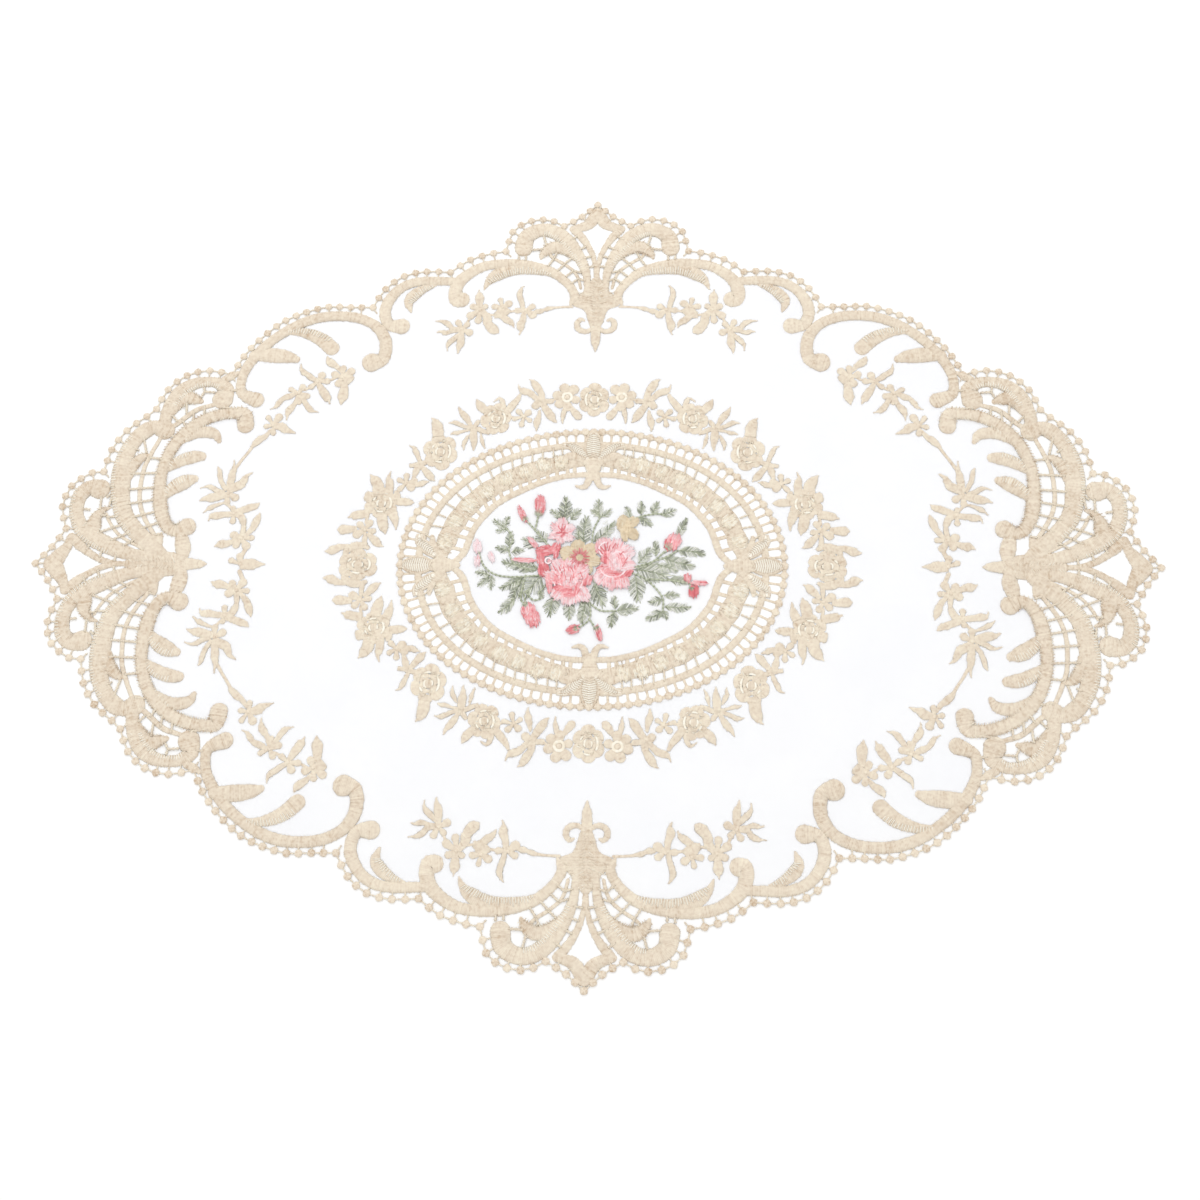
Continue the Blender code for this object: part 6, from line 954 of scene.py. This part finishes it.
def picot_edge():
    """Beads round the outer edge, joined along the row and each tied to the border by a thread."""
    piece = Piece("picot_edge", seed=13)
    centres = round_the_mat(picot_centres())
    _, left = directions(centres, True)
    for centre, following, out in zip(centres, np.roll(centres, -1, 0), left):
        bead(piece, *centre, tone=0.34)
        twist(piece, [centre, following], radius=0.3, height=0.32, tone=0.5)
        twist(piece, [centre, centre - out * EDGE_DEPTH], radius=0.32, height=0.34, tone=0.44)
    return piece.finish(cream_thread("picot_thread"))


# ---- the medallion --------------------------------------------------------------------------------------

def broad_band():
    """The broad band's rows: it narrows from its inner edge at the four points, and between the blossoms."""
    path = oval_run(WIDE_BAND_MIDDLE, 1.0)
    _, left = directions(path, True)
    narrow = np.clip(1 - (np.abs(path) / NARROW_FROM).min(1), 0, 1)[:, None] ** 0.7
    path = path + left * narrow * NARROWS / 2
    places = np.array([place for blossom in BLOSSOMS for place in four_places(*blossom)])
    away = np.linalg.norm(path[:, None] - places[None], axis=2).min(1)[:, None]
    width = WIDE_BAND_WIDTH - NARROWS * narrow - SCALLOP * np.clip(away / SCALLOP_FROM, 0, 1) ** 2
    return np.hstack([path, width])


def medallion_bands():
    """The medallion's three satin ovals and the leaf forms at its four points."""
    piece = Piece("medallion_bands", seed=21)
    satin(piece, widened(oval_run(OUTER_BAND, 4), OUTER_BAND_WIDTH), crown=0.6, base=BORDER_BASE, closed=True)
    satin(piece, round_the_mat(INNER_BAND_ROWS), crown=0.6, base=BORDER_BASE, closed=True)
    satin(piece, broad_band(), crown=0.45, base=BORDER_BASE, closed=True, tone=0.44, comb=0.12)
    for rows in MEDALLION_FLEURS.values():
        for quarter in mirrored(rows):
            satin(piece, quarter, crown=0.5, base=BORDER_BASE + 0.25, tone=0.48)
    for rows in RIBBED_LEAVES.values():
        for quarter in mirrored(rows):
            ribbed_leaf(piece, quarter)
    return piece.finish(cream_thread("medallion_satin"))


def ribbed_leaf(piece, rows):
    """A leaf worked open inside its satin rim: pale ground with fine ribs that slant to its middle."""
    run = smooth(rows, RIB_STEP)
    ahead, left = directions(run)
    inset = np.maximum(run[:, 2:3] / 2 - RIM / 2, 0.15) * left
    satin(piece, run * (1, 1, 0.8), crown=0.25, base=BORDER_BASE + 0.42, tone=1.3, comb=0.05, blunt=False)
    for way in (inset, -inset):
        satin(piece, widened(run[:, :2] + way, RIM), crown=0.9, base=BORDER_BASE + 0.1, tone=0.44, comb=0.15,
              blunt=False)
    ribs = []
    for k in range(3, len(run) - 4, 2):
        for way in (inset, -inset):
            middle = run[k, :2] + ahead[k] * 0.7
            ribs.append(strand(run[k, :2] + way[k], middle, level=0.8, end_level=0.74, width=0.3, tone=0.3))
    stitches(piece, ribs)


def blossom_fills():
    """The paler blossoms along the medallion's broad band, and the odd darker stitches round them."""
    piece = Piece("medallion_blossoms", seed=22)
    half_length, half_width, _ = WIDE_BAND_MIDDLE
    for place in BLOSSOMS:
        for x, y in four_places(*place):
            out = math.degrees(math.atan2(y / half_width ** 2, x / half_length ** 2))
            for reach, level, tone in BLOSSOM_LAYERS:
                turn = out + piece.draw.uniform(-8, 8)
                patch(piece, x, y, reach, reach * 0.95, turn, tone, level, spread=0.18, width=0.55)
            flecks(piece, x, y, 2.4, 2.2, out, count=16, level=0.42, tone=1.0, spread=0.25)
    path = oval_run(WIDE_BAND_MIDDLE, 0.5)
    _, left = directions(path, True)
    specks = []
    for _ in range(SPECKS):
        i = piece.draw.randint(len(path))
        across, half = piece.draw.uniform(-3.4, 3.4), piece.draw.uniform(0.4, 0.9)
        middle, way = path[i] + left[i] * across, left[i] + piece.draw.uniform(-0.35, 0.35, 2)
        tone = piece.draw.choice(SPECK_TONES)
        specks.append(strand(middle - way * half, middle + way * half, level=0.44, width=0.4, tone=tone))
    stitches(piece, specks)
    return piece.finish(cream_thread("blossom_fill"))


def medallion_net():
    """The bead ring round the medallion and the thread bars of its three ladders."""
    piece = Piece("medallion_net", seed=23)
    run = oval_run(BEAD_OVAL, 0.1)
    quarter = [run[round((RING_FIRST + RING_PITCH * k) / 0.1)] for k in range(RING_BEADS)]
    centres = round_the_mat([(0, BEAD_OVAL[1]), *quarter, (BEAD_OVAL[0], 0)])
    band = oval_run(OUTER_BAND, 0.2)
    for centre, following in zip(centres, np.roll(centres, -1, 0)):
        bead(piece, *centre, radius=1.54, crown=0.75, tone=0.4)
        foot = band[np.argmin(np.hypot(*(band - centre).T))]
        spoke = [(*centre, 1.0), (*((foot + centre) / 2), 0.7), (*foot, 1.0)]
        satin(piece, spoke, crown=0.4, base=BORDER_BASE, tone=0.45, comb=0.08, blunt=False)
        satin(piece, widened([centre, following], 1.4), crown=0.4, base=BORDER_BASE, tone=0.44, comb=0.1)
    for ends in four_bars(LADDER):
        twist(piece, ends, radius=0.4)
    for ends in four_bars(SLIT):
        satin(piece, widened(ends, 1.3), crown=0.35, base=BORDER_BASE, tone=0.46, comb=0.08, blunt=False)
    return piece.finish(cream_thread("medallion_thread"))


# ---- embroidery on the organza --------------------------------------------------------------------------

def leaf(piece, rows):
    """A satin leaf along rows of x, y and width, its stitches slanting ahead from a furrow in the middle."""
    base = MOTIF_BASE + piece.draw.uniform(0, STAGGER)
    satin(piece, rows, LEAF_CROWN, base, lean=0.5, vein=0.1, tone=0.53, blunt=False, comb=0.24)


def petal(piece, heart, x, y, half_width):
    """A blunt petal from a flower's heart to its middle and on."""
    way = np.array([x - heart[0], y - heart[1]])
    ahead = way / np.linalg.norm(way)
    rows = [(*(np.array(heart) + way * 0.12), half_width * 0.8)]
    for on, width in PETAL_WIDTHS:
        rows.append((x + ahead[0] * half_width * on, y + ahead[1] * half_width * on, half_width * width))
    satin(piece, rows, LEAF_CROWN, MOTIF_BASE + piece.draw.uniform(0, STAGGER), tone=0.52, blunt=False)


def arc_petal(piece, shape, reach, width, start, span, crown, tone):
    """A rose's petal: satin that bends round the heart and swells in the middle."""
    rows = []
    for share in ARC_SHARES:
        swell = math.sin(math.pi * share)
        rows.append((*around(*shape, reach * (0.96 + 0.1 * swell), start + span * share),
                     width * (0.5 + 0.5 * swell ** 0.6)))
    satin(piece, rows, crown, MOTIF_BASE, tone=tone, comb=0.15)


def rose(piece, shape, start, turn, way):
    """A cream rose: broad petals, a smaller ring of them and a filled heart, with pale threads between."""
    x, y, half_length, half_width = shape
    size = (half_length + half_width) / 2
    first = start + way * turn
    for k in range(6):
        arc_petal(piece, shape, reach=0.76, width=size * (0.5 + 0.05 * (k % 2)), start=first + way * 60 * k,
                  span=way * 56, crown=0.32, tone=0.5 + 0.06 * (k % 3 - 1))
    for k in range(4):
        arc_petal(piece, shape, reach=0.42, width=size * 0.36, start=first + way * (90 * k + 40),
                  span=way * 82, crown=0.38, tone=0.46 + 0.05 * k)
    heart = [(x + size * 0.26 * math.sin(s), y, size * 0.52 * math.cos(s) + 0.2)
             for s in np.linspace(-math.pi / 2, math.pi / 2, len(ARC_SHARES))]
    satin(piece, heart, crown=0.46, base=MOTIF_BASE, tone=0.44, blunt=False, comb=0.1)
    for reach, begin, span, width in ROSE_THREADS:
        rows = [(*around(*shape, reach, start + way * (begin + span * share)),
                 width * (0.5 + 0.5 * math.sin(math.pi * share))) for share in ARC_SHARES]
        satin(piece, rows, crown=0.1, base=MOTIF_BASE + 0.34, tone=1.0, comb=0.04, blunt=False)
    flecks(piece, x, y, half_length * 0.8, half_width * 0.8, first, count=34, level=MOTIF_BASE + 0.22,
           tone=0.62, spread=0.2)


def wreath():
    """The wreath's roses, each turned as its quarter is mirrored."""
    piece = Piece("wreath_roses", seed=31)
    for x, y, half_length, half_width, turn in WREATH_ROSES:
        for place, (start, way) in zip(four_places(x, y), ROSE_TURNS):
            rose(piece, (*place, half_length, half_width), start, turn, way)
    return piece.finish(cream_thread("rose_satin"))


def sprigs():
    """Leaves, small flowers and thread stems on the organza."""
    piece = Piece("ground_sprigs", seed=32)
    for rows in STEMS:
        for quarter in mirrored(rows):
            satin(piece, quarter, crown=0.4, base=MOTIF_BASE - 0.03, tone=0.45, comb=0.1)
    for rows in LEAVES:
        for quarter in mirrored(rows):
            leaf(piece, quarter)
    for heart, petals in FLOWERS:
        ringed = heart == STAR_RING
        for (hx, hy), (flip_x, flip_y) in zip(four_places(*heart), FLIPS):
            for x, y, half_width in petals:
                petal(piece, (hx, hy), hx + (x - heart[0]) * flip_x, hy + (y - heart[1]) * flip_y, half_width)
            if ringed:
                ring = widened([polar(hx, hy, 1.8, 30 * k) for k in range(12)], 0.9)
                satin(piece, ring, crown=0.2, base=MOTIF_BASE + 0.34, closed=True, tone=0.95, comb=0.05)
            bead(piece, hx, hy, radius=1.1 if ringed else 0.8, crown=0.6, base=MOTIF_BASE, tone=0.46, sides=9)
    return piece.finish(cream_thread("sprig_satin"))


# ---- the bouquet ----------------------------------------------------------------------------------------

def bouquet_foliage():
    """The green stitching: slanting stitches either side of each leaf's vein, and corded stems."""
    piece = Piece("bouquet_leaves", seed=41)
    for route in BOUQUET_STEMS:
        twist(piece, route, radius=0.4, height=MOTIF_BASE + 0.24, tone=0.05, turn=1.7, painted_shading=0.5)
    for x1, y1, x2, y2, half_width in BOUQUET_LEAVES:
        green_leaf(piece, np.array((x1, y1)), np.array((x2, y2)), half_width + LEAF_SPREAD)
    for x, y, turn, reach in CALYXES:
        for way in range(-60, 61, 20):
            ends = polar(x, y, 0.5, turn + way), polar(x, y, reach * (1 - 0.006 * abs(way)), turn + way)
            tone = piece.draw.uniform(0.1, 0.6)
            stitches(piece, [strand(*ends, level=PATCH_LEVEL + 0.26, end_level=PATCH_LEVEL + 0.16, width=0.36,
                                    tone=tone)])
    return piece.finish(green_thread())


def green_leaf(piece, base, tip, half_width):
    """A leaf combed from its vein outwards, open between the stitches."""
    length = math.hypot(*(tip - base))
    way = (tip - base) / length
    left = np.array((-way[1], way[0]))
    sway = piece.draw.uniform(-0.08, 0.08) * length
    shade = piece.draw.uniform(0.44, 0.72)
    vein = [base, base + way * length / 2 + left * sway, tip - way * 0.8]
    twist(piece, vein, radius=0.24, height=MOTIF_BASE + 0.22, tone=0.05, painted_shading=0.3)
    count = max(5, round(length / 0.82))
    strands = []
    for k in range(count):
        root = 0.03 + 0.83 * k / count
        edge = root + 0.75 * half_width / length
        reach = half_width * max(0.16, math.sin(math.pi * min(edge, 1) ** 0.9)) ** 0.75
        bow = left * sway * math.sin(math.pi * root)
        for side in (-1, 1):
            jitter = piece.draw.uniform(-0.4, 0.4)
            far = base + way * (edge + 0.03 * jitter) * length + left * (reach + jitter) * side
            strands.append(strand(base + way * root * length + bow, far + bow, level=MOTIF_BASE + 0.16,
                                  end_level=MOTIF_BASE, width=0.37, tone=shade + piece.draw.normal(0, 0.38)))
    stitches(piece, strands)
    middle, turn = (base + tip) / 2, math.degrees(math.atan2(way[1], way[0])) + 35
    flecks(piece, *middle, half_width * 0.6, length * 0.36, turn, count=round(half_width * length * 0.3),
           level=MOTIF_BASE + 0.2, tone=1.0, spread=0.15, width=0.26)


def bouquet_blooms():
    """The pink and red flower heads, their folds worked over the paler petals."""
    piece = Piece("bouquet_flowers", seed=42)
    for order, (x, y, half_width, half_length, turn, tone, fade) in enumerate(ROSE_PATCHES):
        level = PATCH_LEVEL + PATCH_STEP * order
        oval = (x, y, half_width, half_length, turn)
        patch(piece, *oval, tone=tone + 0.05, level=level, spread=0.16, fade=fade, width=0.42)
        flecks(piece, *oval, count=int(half_width * half_length * 2.6), level=level + 0.04, tone=tone + 0.1,
               spread=0.26, width=0.34)
    top = PATCH_LEVEL + PATCH_STEP * len(ROSE_PATCHES) + 0.04
    stitches(piece, [strand((x1, y1), (x2, y2), top, 0.42, tone) for x1, y1, x2, y2, tone in ROSE_STREAKS])
    for x, y, wide, high, start, span in PALE_LOOPS:
        loop = [around(x, y, wide, high, 1, start + span * k / 12) for k in range(13)]
        satin(piece, widened(loop, 0.3), crown=0.12, base=top, tone=1.05, comb=0.04, blunt=False)
    stitches(piece, [strand(polar(*STAR, start, turn), polar(*STAR, start + length, turn), top, 0.45, tone)
                     for turn, start, length, tone in STAR_RAYS])
    return piece.finish(rose_thread())


def cream_blooms():
    """The two cream flower heads of the bouquet."""
    piece = Piece("bouquet_cream", seed=43)
    for *oval, tone, fade in CREAM_PATCHES:
        patch(piece, *oval, tone=tone, level=PATCH_LEVEL, spread=0.12, fade=fade, ragged=0.4)
    return piece.finish(bloom_thread())


# ---- the organza ----------------------------------------------------------------------------------------

def within(points, outline):
    """Whether each point lies inside a closed outline."""
    x, y = points[:, 0], points[:, 1]
    inside = np.zeros(len(points), bool)
    for (x1, y1), (x2, y2) in zip(outline, np.roll(outline, -1, 0)):
        crosses = (y1 > y) != (y2 > y)
        if y1 != y2:
            inside ^= crosses & (x < (x2 - x1) * (y - y1) / (y2 - y1) + x1)
    return inside


def organza():
    """The sheer ground inside the border and inside the medallion, as it lies in slight waves."""
    half_length, half_width, roundness = BEAD_OVAL
    edge = smooth(round_the_mat(GROUND_LINE), 2.0, True)
    hole = oval_run((half_length - 0.5, half_width - 0.5, roundness), 2.0)
    heart = smooth(round_the_mat(INNER_BAND_ROWS), 2.0, True)[:, :2]

    def covered(places):
        return within(places, edge) & ~within(places, hole) | within(places, heart)

    links, first = [], 0
    loops = [edge[::-1], hole, heart[::-1]]
    for loop in loops:
        links += [(first + k, first + (k + 1) % len(loop)) for k in range(len(loop))]
        first += len(loop)
    grid = np.stack(np.meshgrid(np.arange(-178, 178, 2.5), np.arange(-136, 136, 2.5)), -1).reshape(-1, 2)
    points = np.vstack(loops + [grid[covered(grid)]])
    flat, _, triangles, *_ = delaunay_2d_cdt([Vector(p) for p in points], links, [], 0, 1e-5)
    flat, triangles = np.array([tuple(p) for p in flat]), np.array(triangles)
    kept = triangles[covered(flat[triangles].mean(1))]
    x, y = flat.T
    wave = 0.04 * np.sin(x * 0.11 + y * 0.05) + 0.03 * np.sin(y * 0.17 - x * 0.04 + 1)
    mesh = bpy.data.meshes.new("organza_ground")
    mesh.from_pydata(np.column_stack([flat, SHEER_HEIGHT + wave]) * MM, [], kept.tolist())
    a, b, c = (flat[kept[:, corner]] for corner in range(3))
    area = np.abs(np.cross(b - a, c - a)).sum() / 2
    return dressed(mesh, sheer()), area * MM * MM


# ---- threads and cloth ----------------------------------------------------------------------------------

def linear(colour):
    """A colour of 0 to 255 as the shader's own linear values."""
    shares = [value / 255 for value in colour]
    return (*(s / 12.92 if s <= 0.04045 else ((s + 0.055) / 1.055) ** 2.4 for s in shares), 1.0)


def new_material(name):
    """A material with its node tree and its shader."""
    material = bpy.data.materials.new(name)
    material.use_nodes = True
    return material, material.node_tree, material.node_tree.nodes["Principled BSDF"]


def noise(tree, place, scale, detail=2.0):
    node = tree.nodes.new("ShaderNodeTexNoise")
    node.inputs["Scale"].default_value = scale
    node.inputs["Detail"].default_value = detail
    tree.links.new(place, node.inputs["Vector"])
    return node.outputs["Fac"]


def spread(tree, socket, low, high, from_low=0.3, from_high=0.7):
    node = tree.nodes.new("ShaderNodeMapRange")
    for name, value in (("From Min", from_low), ("From Max", from_high), ("To Min", low), ("To Max", high)):
        node.inputs[name].default_value = value
    tree.links.new(socket, node.inputs["Value"])
    return node.outputs["Result"]


def total(tree, *sockets):
    kept = sockets[0]
    for socket in sockets[1:]:
        node = tree.nodes.new("ShaderNodeMath")
        tree.links.new(kept, node.inputs[0])
        tree.links.new(socket, node.inputs[1])
        kept = node.outputs[0]
    return kept


def ramp(tree, socket, stops):
    """The colour at a socket's value between stops of position and colour."""
    node = tree.nodes.new("ShaderNodeValToRGB")
    elements = node.color_ramp.elements
    for element, (position, colour) in zip(elements, (stops[0], stops[-1])):
        element.position = position
        element.color = linear(colour)
    for position, colour in stops[1:-1]:
        elements.new(position).color = linear(colour)
    tree.links.new(socket, node.inputs["Fac"])
    return node.outputs["Color"]


def thread(name, stops, drift=0.07, fleck=0.16):
    """A spun thread: its colour by the tone of each stitch, with drifts, flecks and fine fibres."""
    material, tree, shader = new_material(name)
    place = tree.nodes.new("ShaderNodeTexCoord").outputs["Object"]
    tone = tree.nodes.new("ShaderNodeAttribute")
    tone.attribute_name = "tone"
    fibre = noise(tree, place, 2400, 3)
    drifts = spread(tree, noise(tree, place, 45), -drift, drift)
    flecked = spread(tree, noise(tree, place, 900), -fleck, fleck)
    colour = ramp(tree, total(tree, tone.outputs["Fac"], drifts, flecked), stops)
    tree.links.new(colour, shader.inputs["Base Color"])
    tree.links.new(spread(tree, fibre, 0.6, 0.85), shader.inputs["Roughness"])
    bump = tree.nodes.new("ShaderNodeBump")
    bump.inputs["Strength"].default_value = 0.6
    bump.inputs["Distance"].default_value = 0.12 * MM
    tree.links.new(fibre, bump.inputs["Height"])
    tree.links.new(bump.outputs["Normal"], shader.inputs["Normal"])
    shader.inputs["Sheen Weight"].default_value = 0.2
    shader.inputs["Sheen Roughness"].default_value = 0.4
    shader.inputs["Specular IOR Level"].default_value = 0.35
    return material


def cream_thread(name):
    return thread(name, ((0.0, (194, 169, 140)), (0.3, (223, 208, 188)), (0.5, (233, 220, 200)),
                         (0.75, (241, 231, 210)), (1.0, (249, 244, 231))))


def bloom_thread():
    return thread("cream_bloom", ((0.0, (214, 192, 156)), (0.5, (239, 222, 193)), (1.0, (248, 238, 218))))


def green_thread():
    return thread("leaf_thread", ((0.0, (128, 134, 108)), (0.3, (178, 184, 158)), (0.55, (208, 212, 190)),
                                  (0.8, (228, 230, 212)), (1.0, (246, 246, 236))), drift=0.06, fleck=0.12)


def rose_thread():
    return thread("flower_thread", ((0.0, (222, 108, 118)), (0.2, (235, 132, 138)), (0.4, (244, 165, 168)),
                                    (0.6, (249, 194, 197)), (0.8, (252, 216, 218)), (1.0, (254, 236, 238))),
                  drift=0.05, fleck=0.1)


def sheer():
    """Organza: a white voile of crossed threads that lets most of what is under it show."""
    material, tree, shader = new_material("sheer_organza")
    place = tree.nodes.new("ShaderNodeTexCoord").outputs["Object"]
    strands = []
    for way in ("X", "Y"):
        wave = tree.nodes.new("ShaderNodeTexWave")
        wave.bands_direction = way
        wave.inputs["Scale"].default_value = 800
        wave.inputs["Distortion"].default_value = 0.6
        tree.links.new(place, wave.inputs["Vector"])
        strands.append(spread(tree, wave.outputs["Fac"], 0.1, 0.36, 0, 1))
    tree.links.new(total(tree, *strands), shader.inputs["Alpha"])
    # Faint blue-grey painted shade in broad patches over the white cloth.
    painted_shade_tint = ramp(tree, noise(tree, place, 30), ((0, (246, 247, 252)), (1, (255, 255, 255))))
    tree.links.new(painted_shade_tint, shader.inputs["Base Color"])
    tree.links.new(spread(tree, noise(tree, place, 2000), 0.4, 0.6), shader.inputs["Roughness"])
    shader.inputs["Sheen Weight"].default_value = 0.3
    return material


# ---- the studio -----------------------------------------------------------------------------------------

def photo_camera():
    """The camera at the photograph's place over the mat."""
    stance = (Matrix.Rotation(math.radians(TILT), 3, "X") @ Matrix.Rotation(math.radians(ROLL), 3, "Y")
              @ Matrix.Rotation(math.radians(TURN), 3, "Z"))
    eye = -(stance.transposed() @ Vector(SHIFT))
    right, up, ahead = (Vector((row[0], row[1], -row[2])) for row in stance)
    data = bpy.data.cameras.new("photo_camera")
    data.sensor_width = SENSOR
    data.lens = SENSOR * FOCAL / PHOTO_SIDE
    data.clip_start, data.clip_end = 0.01, 10
    camera = placed("photo_camera", data)
    pose = Matrix((right, up, -ahead)).transposed().to_4x4()
    pose.translation = Vector((eye.x, eye.y, -eye.z)) * MM
    camera.matrix_world = pose
    bpy.context.scene.camera = camera


def plain_floor():
    mesh = bpy.data.meshes.new("floor")
    mesh.from_pydata([(x * FLOOR_HALF, y * FLOOR_HALF, 0) for x, y in ((-1, -1), (1, -1), (1, 1), (-1, 1))],
                     [], [(0, 1, 2, 3)])
    material, _, shader = new_material("studio_white")
    shader.inputs["Base Color"].default_value = (0.96, 0.96, 0.96, 1)
    shader.inputs["Roughness"].default_value = 0.9
    shader.inputs["Specular IOR Level"].default_value = 0.1
    mesh.materials.append(material)
    floor = placed("floor", mesh)
    return floor


def area_light(name, place, energy, size):
    data = bpy.data.lights.new(name, "AREA")
    data.energy, data.size = energy, size
    light = placed(name, data)
    light.location = place
    light.rotation_euler = (-Vector(place)).to_track_quat("-Z", "Y").to_euler()


def studio():
    """Soft white light all round, a little stronger from behind."""
    world = bpy.data.worlds.new("studio")
    world.use_nodes = True
    background = world.node_tree.nodes["Background"]
    background.inputs["Color"].default_value = (1, 1, 1, 1)
    background.inputs["Strength"].default_value = 0.978
    bpy.context.scene.world = world
    area_light("key", (-0.35, 0.85, 0.85), energy=3.0, size=0.6)
    area_light("fill", (0.8, 0.0, 1.1), energy=0.5, size=0.8)
    bpy.context.scene.view_settings.view_transform = "Standard"


def main():
    photo_camera()
    studio()
    floor = plain_floor()
    ground, area = organza()
    cream = [make() for make in (border_bands, border_stitches, border_net, picot_edge, medallion_bands,
                                 blossom_fills, medallion_net, wreath, sprigs)]
    leaves, flowers = bouquet_foliage(), [bouquet_blooms(), cream_blooms()]
    for piece in [ground] + cream:
        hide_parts("doily_cloth")
    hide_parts("bouquet_foliage")
    for piece in flowers:
        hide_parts("bouquet_blooms")


main()
